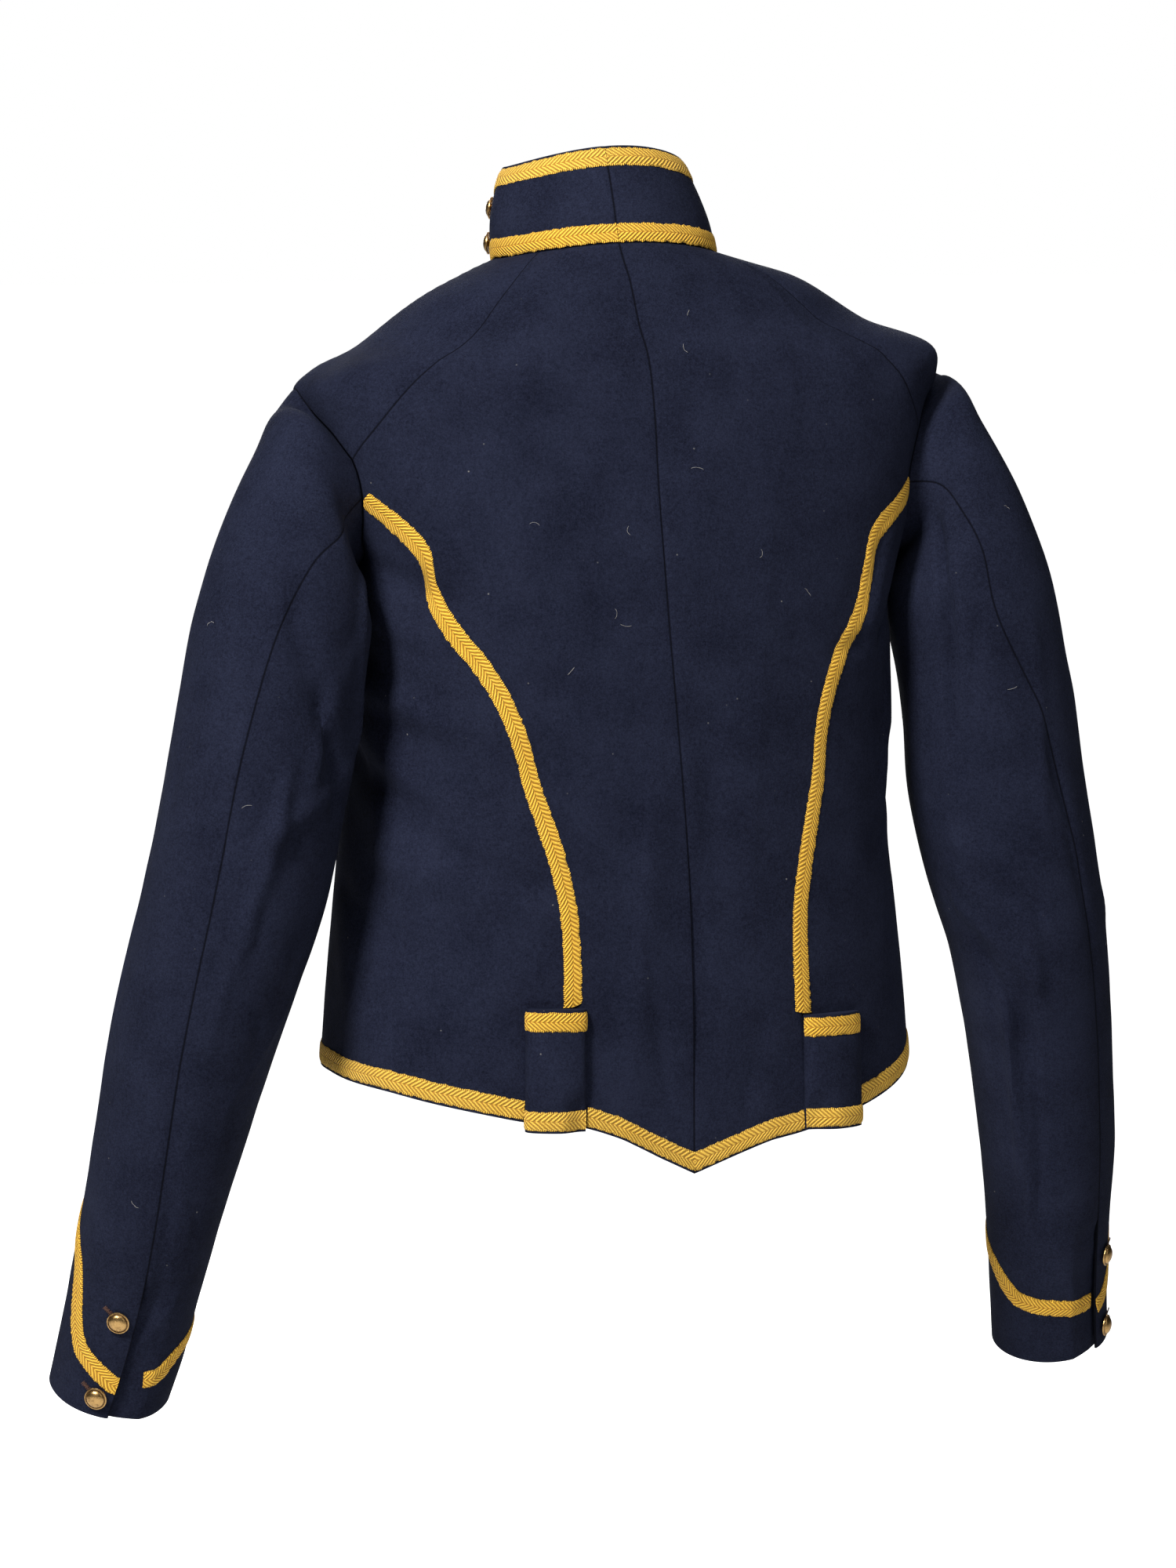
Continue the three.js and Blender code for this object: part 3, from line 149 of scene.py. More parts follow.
# Middle of the cuff's lace as angle, rise on the left, rise on the right
cuffLine = np.array([
    [0, 26, 30], [19, 24, 30], [42, 33, 36], [61, 41, 48], [72, 53, 58], [80, 76, 76], [87, 93, 92],
    [98, 103, 104], [130, 124, 124], [162, 140, 140], [180, 128, 128], [216, 88, 88], [250, 64, 78],
    [275, 57, 66], [303, 51, 48], [325, 43, 44], [339, 32, 43], [353, 28, 41], [372, 32, 38],
    [400, 34, 36],
])
# Large folds as side, angle0, z0, angle1, z1, wide, high: side is 1 left, -1 right, 0 both
bodyFolds = [
    [1, 76, -215, 46, -290, 13, 3.2], [1, 84, -235, 60, -345, 14, -3.0], [1, 80, -300, 48, -375, 13, 2.6],
    [1, 92, -330, 66, -430, 16, -2.6], [-1, 72, -170, 64, -235, 12, 4.5],
    [-1, 78, -250, 70, -350, 12, 3.4], [-1, 90, -270, 84, -380, 12, -2.6],
    [1, 8, -350, 14, -500, 15, 2.4], [-1, 12, -300, 6, -480, 16, -1.8],
    [0, 128, -215, 152, -270, 15, 2.6], [0, 118, -240, 128, -380, 16, -2.6],
    [0, 150, -330, 140, -450, 18, 2.2], [0, 70, -72, 84, -56, 9, 1.6],
]
sleeveFolds = [
    [1, -34, -262, -2, -345, 13, 3.6], [1, 0, -340, 8, -430, 13, 3.4], [1, -34, -385, 6, -372, 11, -3.0],
    [1, -40, -430, 4, -412, 10, 3.0], [1, 150, -400, 190, -430, 11, -3.4],
    [1, 120, -300, 110, -470, 18, 2.0], [1, 20, -520, 0, -640, 15, -1.8],
    [-1, -70, -385, -20, -450, 13, 3.8], [-1, -60, -440, -28, -520, 12, -3.4],
    [-1, -50, -470, -40, -610, 14, 2.6], [-1, 150, -400, 190, -430, 11, -3.4],
    [-1, 20, -330, 30, -430, 14, -2.0], [0, 170, -250, 200, -330, 16, 2.2],
    [0, 210, -360, 250, -385, 10, -2.8],
]
# Finer creases, only in the cloth that shows
bodyCreases = [
    [1, 82, -184, 60, -208, 9, -4.2], [1, 88, -262, 62, -286, 10, 5.4], [1, 92, -312, 66, -344, 12, -5.4],
    [1, 72, -350, 42, -388, 7, -2.4], [1, 74, -374, 42, -404, 9, 2.4], [1, 86, -430, 72, -505, 15, 2.6],
    [1, 80, -230, 64, -248, 6, -1.8], [1, 88, -400, 70, -425, 8, -2.0], [1, 62, -300, 44, -352, 7, -1.2],
    [1, 90, -280, 78, -345, 6, 1.2], [1, 70, -395, 58, -470, 9, 1.0], [-1, 78, -190, 70, -240, 7, -3.0],
    [-1, 66, -180, 62, -226, 6, 2.4], [-1, 84, -225, 76, -300, 6, 2.0], [-1, 72, -238, 52, -250, 6, -1.6],
    [-1, 84, -300, 66, -372, 8, -2.2], [-1, 74, -260, 68, -330, 6, -1.3],
    [-1, 86, -330, 80, -400, 7, 1.1], [1, 10, -430, 4, -520, 8, -1.1], [-1, 6, -330, 12, -430, 9, 1.0],
    [-1, 28, -480, 22, -530, 8, -0.9], [0, 62, -64, 74, -46, 4.5, 1.1], [0, 56, -44, 70, -34, 5, -0.9],
    [0, 78, -84, 92, -70, 5, 1.0], [0, 104, -190, 128, -226, 6, 1.5], [0, 100, -212, 122, -262, 6, -1.5],
    [1, 136, -300, 150, -360, 8, 1.2], [-1, 130, -320, 146, -400, 8, -1.2],
    [0, 160, -440, 150, -500, 9, 1.0], [1, 32, -120, 50, -150, 11, -0.8],
    [-1, 30, -130, 52, -170, 12, -0.8], [0, 20, -60, 8, -180, 16, 0.8],
]
sleeveCreases = [
    [1, 12, -220, -18, -275, 13, -4.8], [1, -18, -275, -44, -330, 11, -4.6],
    [1, -38, -205, -60, -290, 10, 3.2], [1, 6, -354, -54, -314, 8, 3.2],
    [1, 40, -300, 30, -360, 10, -1.6], [1, 12, -405, -30, -436, 7, 2.4],
    [1, 20, -432, -26, -470, 7, -2.2], [1, 24, -250, 34, -330, 9, 1.5], [1, -48, -468, -20, -520, 7, 1.2],
    [1, 60, -250, 80, -320, 10, -1.0], [1, 70, -430, 96, -470, 8, 1.1], [1, 12, -560, -12, -600, 6, 1.0],
    [-1, -30, -178, -46, -300, 10, -5.5], [-1, -60, -390, -10, -424, 6, -2.6],
    [-1, -66, -420, -20, -470, 6, 2.8], [-1, -58, -455, -28, -508, 7, -2.8],
    [-1, -44, -500, -48, -600, 9, 2.2], [-1, -30, -205, -60, -250, 7, 2.0],
    [-1, -26, -520, -30, -620, 9, -1.8], [-1, -20, -240, -44, -330, 10, -2.2],
    [-1, 20, -250, 8, -350, 12, 1.6], [-1, 12, -330, 30, -390, 8, 1.0], [-1, 60, -420, 92, -450, 8, 1.0],
    [0, 200, -250, 236, -300, 7, 1.4], [0, 186, -300, 230, -345, 7, -1.4],
    [0, 172, -390, 216, -402, 5, 1.6], [0, 180, -412, 226, -420, 5, -1.6],
    [0, 176, -436, 214, -452, 5, 1.3], [0, 196, -520, 176, -600, 8, 1.1],
    [0, 140, -560, 120, -650, 9, -1.0], [0, -20, -650, 4, -700, 7, 0.9],
]
# Small shifts of the whole form, wearer's left positive: centre, radius, move
formShifts = np.array([
    [213, 14, -80, 45, -2.5, 0, -5.0], [-246, 20, -112, 58, 5.0, 0, 0], [-345, 0, -582, 48, -5.5, 0, 0],
    [-214, 52, -372, 38, 4.5, 0, 0], [-198, 42, -290, 42, -3.0, 0, 0], [300, 50, -325, 50, -2.5, 0, 0],
    [258, 10, -622, 36, 3.5, 0, 0], [372, -15, -705, 36, -3.5, 0, 0], [298, -10, -738, 26, 0, 0, 7.0],
    [362, -20, -738, 24, 0, 0, -3.0], [-176, 40, -536, 30, 0, 0, 5.0], [70, -10, 30, 34, 4.0, 0, 0.5],
    [-326, -20, -735, 28, -2.5, 0, -4.0], [-207, 34, -68, 24, -5.0, 0, 0.5],
])


def shiftForm(point):
    moved = point.copy()
    for x, y, z, radius, *move in formShifts:
        away = np.linalg.norm(point - np.array([x, y, z]), axis=-1, keepdims=True)
        moved = moved + np.exp(-((away / radius) ** 2)) * np.array(move)
    return moved


def readRings(rings, place):
    place = np.clip(np.asarray(place, float), 0, len(rings) - 1)
    i = np.minimum(np.floor(place).astype(int), len(rings) - 2)
    f = (place - i).reshape(place.shape + (1,) * (rings.ndim - 1))
    a, b = rings[np.maximum(i - 1, 0)], rings[i]
    c, d = rings[i + 1], rings[np.minimum(i + 2, len(rings) - 1)]
    return 0.5 * (2 * b + (c - a) * f + (2 * a - 5 * b + 4 * c - d) * f**2 + (3 * b - a - 3 * c + d) * f**3)


def ease(value, start, end):
    t = np.clip((np.asarray(value, float) - start) / (end - start), 0, 1)
    return t * t * (3 - 2 * t)


def unit(v):
    return v / np.maximum(np.linalg.norm(v, axis=-1, keepdims=True), 1e-9)


degreeLength = 2.7  # cloth for one degree round the body
levelLength = 45.0  # cloth for one level


def foldHeight(folds, side, angle, z):
    height = np.zeros(np.broadcast(angle, z).shape)
    for who, angle0, z0, angle1, z1, wide, high in folds:
        if who and who != side:
            continue
        runX, runY = (angle1 - angle0) * degreeLength, z1 - z0
        long = math.hypot(runX, runY)
        x, y = (angle - angle0) * degreeLength, z - z0
        along = (x * runX + y * runY) / long
        past = np.maximum(np.maximum(-along, along - long), 0)
        across = (x * runY - y * runX) / long
        height += high * np.exp(-((across / wide) ** 2) - (past / (wide * 1.6)) ** 2)
    return height


def ringPoint(ring, side, angle):
    sine, cosine = np.sin(np.radians(angle)), np.cos(np.radians(angle))
    inBack = cosine > 0
    half, middle = ring[..., 3], ring[..., 6]
    reach = np.where(inBack, ring[..., 4] - middle, middle - ring[..., 5])
    power = np.where(inBack, ring[..., 7], ring[..., 8])
    radius = (np.abs(sine / half) ** power + np.abs(cosine / reach) ** power) ** (-1 / power)
    out = side * radius * sine
    share = np.minimum(1, np.abs(radius * cosine) / reach) ** 1.6
    end = np.where(inBack, ring[..., 1], ring[..., 2])
    z = ring[..., 0] + (end - ring[..., 0]) * share + ring[..., 9] * out / half
    return np.stack([out + ring[..., 10], middle + radius * cosine, z], -1)


def outwardOf(surface, u, v, side):
    alongU = surface(u + 0.5, v) - surface(u - 0.5, v)
    alongV = surface(u, v + 0.02) - surface(u, v - 0.02)
    return unit(np.cross(alongV, alongU) * side)


neckLevel = len(bodyRings) - 1


def bodyPlain(side, angle, level):
    return ringPoint(readRings(bodyRings, level), side, angle)


def bodyPoint(side, angle, level):
    plain = lambda u, v: bodyPlain(side, u, v)
    point = plain(angle, level)
    fade = 1 - ease(level, neckLevel - 1.5, neckLevel)
    lapFrom = 168 - cloth["frontPass"]
    step = cloth["lapStep"] * ease(angle, lapFrom, lapFrom + 6) if side < 0 else 0
    height = foldHeight(bodyFolds, side, angle, point[..., 2]) * fade - step
    outward = outwardOf(plain, angle, np.minimum(level, neckLevel - 0.02), side)
    return shiftForm(point + outward * height[..., None])


def bodyOutward(side, angle, level):
    return outwardOf(lambda u, v: bodyPoint(side, u, v), angle, np.minimum(level, neckLevel - 0.02), side)


# Seams and pieces as places: each place is an angle and a level
def alongSeam(seam, count, shift=None):
    read = readRings(seam, np.arange((len(seam) - 1) * 12 + 1) / 12)
    level, angle = read[:, 0], read[:, 1]
    if shift is not None:
        angle = angle + shift(level)
    points = bodyPlain(1, angle, level)
    lengths = np.concatenate([[0], np.cumsum(np.linalg.norm(np.diff(points, axis=0), axis=1))])
    at = np.linspace(0, lengths[-1], count + 1)
    return np.stack([np.interp(at, lengths, angle), np.interp(at, lengths, level)], -1)


def backSeamAngle(level):
    return np.interp(level, backSeam[:, 0], backSeam[:, 1])


def hemPlace(side, angle):
    angle = np.asarray(angle, float)
    z = np.interp(np.abs(angle - side * backSeamAngle(0)), hemLine[:, 0], hemLine[:, 1 if side > 0 else 2])
    return np.stack([angle, (z - cloth["lowRing"]) / cloth["ringStep"]], -1)


def neckPlaces(start, end, count):
    angle = np.linspace(start, end, count + 1)
    return np.stack([angle, np.full_like(angle, neckLevel)], -1)


def fillBetween(bottom, top, left, right):
    t = np.linspace(0, 1, len(left))[:, None, None]
    s = np.linspace(0, 1, len(bottom))[None, :, None]
    upright = bottom[None] * (1 - t) + top[None] * t
    level = left[:, None] * (1 - s) + right[:, None] * s
    low = bottom[0] * (1 - s) + bottom[-1] * s
    high = top[0] * (1 - s) + top[-1] * s
    return upright + level - (low * (1 - t) + high * t)


def spaceOut(grid):
    # keeps rows and columns from crossing beside the armhole
    grid = grid.copy()
    weigh = np.array([degreeLength, levelLength])
    for turn in range(1500):
        along = (grid[1:-1, 2:] - grid[1:-1, :-2]) * weigh
        up = (grid[2:, 1:-1] - grid[:-2, 1:-1]) * weigh
        plain = turn < 200
        alongShare = 1.0 if plain else (up * up).sum(-1, keepdims=True) / 4
        upShare = 1.0 if plain else (along * along).sum(-1, keepdims=True) / 4
        twist = 0.0 if plain else (along * up).sum(-1, keepdims=True) / 8
        skew = grid[2:, 2:] - grid[2:, :-2] - grid[:-2, 2:] + grid[:-2, :-2]
        beside, above = grid[1:-1, 2:] + grid[1:-1, :-2], grid[2:, 1:-1] + grid[:-2, 1:-1]
        wanted = (alongShare * beside + upShare * above - twist * skew) / (2 * (alongShare + upShare))
        grid[1:-1, 1:-1] += 0.7 * (wanted - grid[1:-1, 1:-1])
    return grid


def bodyLayout(side):
    turn = lambda level: side * 0.65 * backSeamAngle(level) * (1 - ease(level, 7, 8))
    low, sideCount = cloth["lowRows"], cloth["sideColumns"]
    backCount = cloth["neckBackColumns"] + cloth["shoulderColumns"]
    frontCount = cloth["neckFrontColumns"] + cloth["shoulderColumns"]
    sideBack, sideLine = alongSeam(sideBackSeam, low, turn), alongSeam(sideSeam, low)
    armBackLine = alongSeam(armBack, cloth["armBackRows"])
    armFrontLine = alongSeam(armFront, cloth["armFrontRows"])
    under, shoulder = alongSeam(armUnder, sideCount), alongSeam(shoulderSeam, cloth["shoulderColumns"])
    sideBack[0], sideLine[0] = hemPlace(side, sideBack[0, 0]), hemPlace(side, sideLine[0, 0])
    backHem, backNeck = side * backSeamAngle(0), side * backSeamAngle(neckLevel)
    corner, middle = shoulder[-1, 0], 180 + cloth["frontPass"]
    backBottom = hemPlace(side, np.linspace(backHem, sideBack[0, 0], backCount + 1))
    neckBack = neckPlaces(backNeck, corner, cloth["neckBackColumns"])
    backTop = np.concatenate([neckBack, shoulder[::-1][1:]])
    backRight = np.concatenate([sideBack, armBackLine[1:]])
    level = np.linspace(backBottom[0, 1], neckLevel, len(backRight))
    backLeft = np.stack([side * backSeamAngle(level), level], -1)
    frontBottom = hemPlace(side, np.linspace(sideLine[0, 0], middle, frontCount + 1))
    neckFront = neckPlaces(corner, middle, cloth["neckFrontColumns"])
    frontTop = np.concatenate([shoulder, neckFront[1:]])
    frontLeft = np.concatenate([sideLine, armFrontLine[1:]])
    level = np.linspace(frontBottom[-1, 1], neckLevel, len(frontLeft))
    frontRight = np.stack([np.full_like(level, middle), level], -1)
    sideBottom = hemPlace(side, np.linspace(sideBack[0, 0], sideLine[0, 0], sideCount + 1))
    return {
        "back": fillBetween(backBottom, backTop, backLeft, backRight),
        "front": spaceOut(fillBetween(frontBottom, frontTop, frontLeft, frontRight)),
        "sideBody": fillBetween(sideBottom, under, sideBack, sideLine),
        "collar": np.concatenate([neckBack[:-1, 0], neckFront[:, 0]]),
    }


# Fine grids
def finePlaces(count):
    # even steps, with close rows beside both ends where the cloth turns into a seam
    even = np.arange(count * cloth["fine"] + 1) / cloth["fine"]
    close = np.array([0.035, 0.08])
    return np.unique(np.round(np.concatenate([even, close, count - close]), 6))


def smoothAlong(grid, at, breaks, axis):
    grid = np.moveaxis(grid, axis, 0)
    stops = [0, *breaks, len(grid) - 1]
    parts = []
    for low, high in zip(stops, stops[1:]):
        last = high == stops[-1]
        inside = at[(at >= low - 1e-9) & ((at <= high + 1e-9) if last else (at < high - 1e-9))]
        parts.append(readRings(grid[low:high + 1], inside - low))
    return np.moveaxis(np.concatenate(parts), 0, axis)


def lengthsAlong(points, axis):
    step = np.linalg.norm(np.diff(points, axis=axis), axis=-1)
    start = np.zeros_like(np.take(step, [0], axis=axis))
    return np.concatenate([start, np.cumsum(step, axis=axis)], axis=axis)


class Panel:
    # one cut piece: its outer face as a grid, with the distance from every point to its edges
    def __init__(self, point, outward, rowAt, columnAt):
        self.point, self.outward, self.rowAt, self.columnAt = point, outward, rowAt, columnAt
        self.along, self.up = lengthsAlong(point, 1), lengthsAlong(point, 0)

    def rowIndex(self, row):
        return np.interp(row, self.rowAt, np.arange(len(self.rowAt)))

    def columnIndex(self, column):
        return np.interp(column, self.columnAt, np.arange(len(self.columnAt)))

    def read(self, field, i, j):
        i, j = np.broadcast_arrays(np.asarray(i, float), np.asarray(j, float))
        i0 = np.clip(np.floor(i).astype(int), 0, field.shape[0] - 2)
        j0 = np.clip(np.floor(j).astype(int), 0, field.shape[1] - 2)
        t, s = i - i0, j - j0
        if field.ndim == 3:
            t, s = t[..., None], s[..., None]
        low = field[i0, j0] * (1 - s) + field[i0, j0 + 1] * s
        high = field[i0 + 1, j0] * (1 - s) + field[i0 + 1, j0 + 1] * s
        return low * (1 - t) + high * t

    def column(self, j, fromEnd=False):
        # distances up one column, against row indices
        index = np.arange(len(self.rowAt), dtype=float)
        if fromEnd:
            index = index[::-1]
        points = self.read(self.point, index, np.full_like(index, j))
        return lengthsAlong(points, 0), index

    def row(self, i, fromEnd=False):
        index = np.arange(len(self.columnAt), dtype=float)
        if fromEnd:
            index = index[::-1]
        points = self.read(self.point, np.full_like(index, i), index)
        return lengthsAlong(points, 0), index


def noiseField(points, size, seed):
    # smooth seeded unevenness, by sums of slanted waves
    rng = np.random.default_rng(seed)
    value = np.zeros(points.shape[:-1])
    for k in range(7):
        turn = unit(rng.normal(size=3))
        wave = 2 * math.pi / (size * rng.uniform(0.7, 1.6))
        value += np.sin(points @ turn * wave + rng.uniform(0, 6.28))
    return value / 7


# Unevenness of the cloth as height, size, seed
bodyUneven = ((0.45, 90, 3), (0.22, 34, 5))
sleeveUneven = ((0.5, 80, 9), (0.25, 30, 6))


def addUneven(height, points, waves):
    for high, size, seed in waves:
        height = height + high * noiseField(points, size, seed)
    return height


def bodyPanel(side, places, rowBreaks=(), columnBreaks=()):
    rowAt, columnAt = finePlaces(places.shape[0] - 1), finePlaces(places.shape[1] - 1)
    fine = smoothAlong(smoothAlong(places, rowAt, rowBreaks, 0), columnAt, columnBreaks, 1)
    angle, level = fine[..., 0], fine[..., 1]
    point, outward = bodyPoint(side, angle, level), bodyOutward(side, angle, level)
    fade = (1 - ease(level, neckLevel - 1.8, neckLevel - 0.3)) * (1 - 0.85 * ease(angle, 162, 172))
    more = addUneven(foldHeight(bodyCreases, side, angle, point[..., 2]), point, bodyUneven)
    return Panel(point + outward * (more * fade)[..., None], outward, rowAt, columnAt)


# Sleeves
def clearOfBody(side, point, share):
    place = np.interp(point[..., 2], bodyRings[:, 0], np.arange(len(bodyRings)))
    ring = readRings(bodyRings, place)
    middle = ring[..., 6]
    inBack = point[..., 1] > middle
    reach = np.where(inBack, ring[..., 4] - middle, middle - ring[..., 5])
    power = np.where(inBack, ring[..., 7], ring[..., 8])
    rest = 1 - np.abs((point[..., 1] - middle) / reach) ** power
    across = side * (point[..., 0] - ring[..., 10])
    angle = np.degrees(np.arctan2(across, point[..., 1] - middle))
    fold = sum(foldHeight(folds, side, angle, point[..., 2]) for folds in (bodyFolds, bodyCreases))
    least = ring[..., 3] * np.maximum(rest, 0) ** (1 / power) + sleeveSet["clear"] + np.maximum(fold, 0)
    short = np.where((rest > 0) & (point[..., 2] <= sleeveSet["foot"]), np.maximum(least - across, 0), 0)
    moved = point.copy()
    moved[..., 0] += side * short * share
    return moved


def settleHead(grid, place, tangents):
    # the sleeve leaves the armhole in the direction of the shoulder, without a step
    last = int(np.searchsorted(place, sleeveSet["headSettle"]))
    start, end = grid[0], grid[last]
    reach = np.linalg.norm(end - start, axis=-1, keepdims=True)
    straight = unit(end - start)
    high = ease(start[:, 2:], -135, -90)
    follow = ease((tangents * straight).sum(-1, keepdims=True), 0.0, 0.5)
    lead = unit(tangents * 0.85 * high * follow + straight * (1 - 0.85 * high * follow)) * reach
    arrive = (grid[last + 1] - grid[last - 1]) / (place[last + 1] - place[last - 1]) * place[last]
    share = np.maximum(follow, ease(start[:, 2:], -128, -96))
    settled = grid.copy()
    for row in range(1, last):
        t = place[row] / place[last]
        curve = start * (2 * t**3 - 3 * t**2 + 1) + lead * (t**3 - 2 * t**2 + t)
        curve = curve + end * (3 * t**2 - 2 * t**3) + arrive * (t**3 - t**2)
        settled[row] = grid[row] + (curve - grid[row]) * share
    return settled


def armholeLoop(back, front, sideBody):
    # the armhole's edge, the sleeve's column at each point of it, and the way the cloth runs into it
    low, inward = cloth["lowRows"], sleeveSet["inward"]
    backFrom, frontFrom = (int(round(float(panel.rowIndex(low)))) for panel in (back, front))

    def around(backColumn, frontColumn, sideRow):
        frontPart = front.point[frontFrom:, frontColumn][::-1][1:]
        sidePart = sideBody.point[sideRow][::-1][1:]
        return np.concatenate([back.point[backFrom:, backColumn], frontPart, sidePart])

    upFront = (cloth["armFrontRows"] - (front.rowAt[frontFrom:] - low))[::-1][1:]
    acrossSide = (cloth["sideColumns"] - sideBody.columnAt)[::-1][1:]
    overArm = cloth["armBackRows"] + cloth["armFrontRows"]
    upBack = back.rowAt[backFrom:] - low
    column = np.concatenate([upBack, cloth["armBackRows"] + upFront, overArm + acrossSide])
    loop = around(-1, 0, -1)
    return loop, column, unit(loop - around(-1 - inward, inward, -1 - inward))


def sleevePanels(side, back, front, sideBody):
    loop, column, tangents = armholeLoop(back, front, sideBody)
    ring = sleeveRings[0]
    tilt = math.radians(ring[3])
    out, rise = (loop[:, 0] - sleeveSet["headShift"]) * side - ring[0], loop[:, 2] - ring[2]
    across = out * math.cos(tilt) + rise * math.sin(tilt)
    head = np.degrees(np.unwrap(np.arctan2(across, loop[:, 1] - ring[1])))
    top = cloth["armBackRows"] + cloth["armFrontRows"] - cloth["frontSeamRows"]
    under = cloth["frontSeamRows"] + cloth["sideColumns"]
    even = 180 * np.where(column <= top, column / top, 1 + (column - top) / under)
    rings, angles = [loop], [head]
    for k, ring in enumerate(sleeveRings, 1):
        angle = head + (even + hindSeam[side][k - 1] - head) * ease(k, 0, sleeveSet["headRings"])
        tilt, pitch = math.radians(ring[3]), math.radians(ring[4])
        toOutside = np.array([math.cos(tilt), 0, math.sin(tilt)])
        toBack = np.array([0, math.cos(pitch), -math.sin(pitch)])
        sine, cosine = np.sin(np.radians(angle))[:, None], np.cos(np.radians(angle))[:, None]
        direction = toOutside * sine + toBack * cosine
        point = ring[:3] + toOutside * ring[5] * sine + toBack * ring[6] * cosine
        if k > 2:
            turned, level = (angle + 90) % 360 - 90, ring[2] + direction[:, 2] * ring[5]
            point = point + direction * foldHeight(sleeveFolds, side, turned, level)[:, None]
        point[:, 2] += side * sleeveSet["lean"] * (2 * k / len(sleeveRings) - 1)
        point[:, 0] = side * point[:, 0] + sleeveSet["headShift"] * (1 - ease(k, 1, 5))
        rings.append(shiftForm(point))
        angles.append(angle)
    rowAt = finePlaces(cloth["sleeveRows"])
    place = rowAt / cloth["sleeveRows"] * len(sleeveRings)
    grid = clearOfBody(side, readRings(np.array(rings), place), ease(place, 0, 0.6)[:, None])
    grid = settleHead(grid, place, tangents)
    outward = sleeveOutward(side, grid)
    turned = (readRings(np.array(angles), place) + 90) % 360 - 90
    fade = ease(place, 0.5, 2.2)[:, None] * (1 - 0.6 * ease(place, 12.6, 14)[:, None])
    more = addUneven(foldHeight(sleeveCreases, side, turned, grid[..., 2]), grid, sleeveUneven)
    grid = grid + outward * (more * fade)[..., None]
    seam = int(np.argmin(np.abs(column - top)))
    topPanel = Panel(grid[:, :seam + 1], outward[:, :seam + 1], rowAt, column[:seam + 1])
    underPanel = Panel(grid[:, seam:], outward[:, seam:], rowAt, column[seam:] - top)
    lapCuff(underPanel)
    return topPanel, underPanel


def sleeveOutward(side, grid):
    around = np.concatenate([grid[:, -2:-1], grid, grid[:, 1:2]], axis=1)
    down = np.gradient(grid, axis=0)
    down[:2] = down[2]
    outward = unit(np.cross(around[:, 2:] - around[:, :-2], down) * side)
    outward[:, 0] = outward[:, -1] = unit(outward[:, 0] + outward[:, -1])
    return outward


cuffSet = {
    "slit": 105, "lap": 11, "bend": 0.3, "sink": cloth["thick"] + 0.7,
    "buttons": (13, 69), "fromEdge": 11, "holeRise": 7, "holeLong": 11.0, "laceEnd": {1: 1.6, -1: 0.7},
}


def lapCuff(panel):
    # the under sleeve passes beneath the top sleeve along the cuff's open slit
    s = cuffSet
    point, last = panel.point, panel.columnAt[-1]
    rise = np.linalg.norm(point[:, -1] - point[-1, -1], axis=-1)
    share = np.clip((panel.columnAt - (last - 2)) / 2, 0, 1)
    sink = s["sink"] * np.clip((panel.columnAt - (last - 2)), 0, 1)
    lap = s["lap"] * (1 - ease(rise, s["slit"] * 0.62, s["slit"] * 0.8))
    opening = 1 - ease(rise, s["slit"] - 14, s["slit"])
    along = unit(point[:, -1] - point[:, -2])[:, None]
    bend = s["bend"] * np.clip(panel.columnAt - (last - 1), 0, 1)
    move = along * (lap[:, None] * share)[..., None]
    move = move - panel.outward * ((opening[:, None] * sink) + lap[:, None] * bend)[..., None]
    panel.point = point + move
    panel.along, panel.up = lengthsAlong(panel.point, 1), lengthsAlong(panel.point, 0)


def collarPanel(side, angles):
    columnAt = finePlaces(len(angles) - 1)
    angle = np.interp(columnAt, np.arange(len(angles)), np.minimum(angles, 179.4))
    rowAt = finePlaces(cloth["collarRows"])
    level = rowAt / cloth["collarRows"] * (len(collarRings) - 1)
    surface = lambda u, v: ringPoint(readRings(collarRings, v), side, u)
    u, v = np.broadcast_arrays(angle[None], level[:, None])
    point = surface(u, v)
    outward = outwardOf(surface, u, np.clip(v, 0.02, len(collarRings) - 1.02), side)
    soft = 0.4 * noiseField(point, 60, 12) * ease(u, 0, 14) * (1 - ease(u, 165, 178))
    point = point + outward * soft[..., None]
    return Panel(shiftForm(point), outward, rowAt, columnAt)


# Meshes
def meshFrom(name, points, faces, uv, floats=None):
    mesh = bpy.data.meshes.new(name)
    mesh.from_pydata((points * 0.001).tolist(), [], faces.tolist())
    corners = np.empty(len(mesh.loops), dtype=np.int32)
    mesh.loops.foreach_get("vertex_index", corners)
    layer = mesh.uv_layers.new(name="cut")
    layer.data.foreach_set("uv", (uv[corners] * 0.001).astype(np.float32).ravel())
    for key, values in (floats or {}).items():
        mesh.attributes.new(key, "FLOAT", "POINT").data.foreach_set("value", values.astype(np.float32))
    mesh.validate()
    piece = bpy.data.objects.new(name, mesh)
    bpy.context.scene.collection.objects.link(piece)
    return piece


def selectOnly(piece):
    bpy.ops.object.select_all(action="DESELECT")
    piece.select_set(True)
    bpy.context.view_layer.objects.active = piece


def smoothByAngle(piece, degrees):
    selectOnly(piece)
    bpy.ops.object.shade_smooth_by_angle(angle=math.radians(degrees))


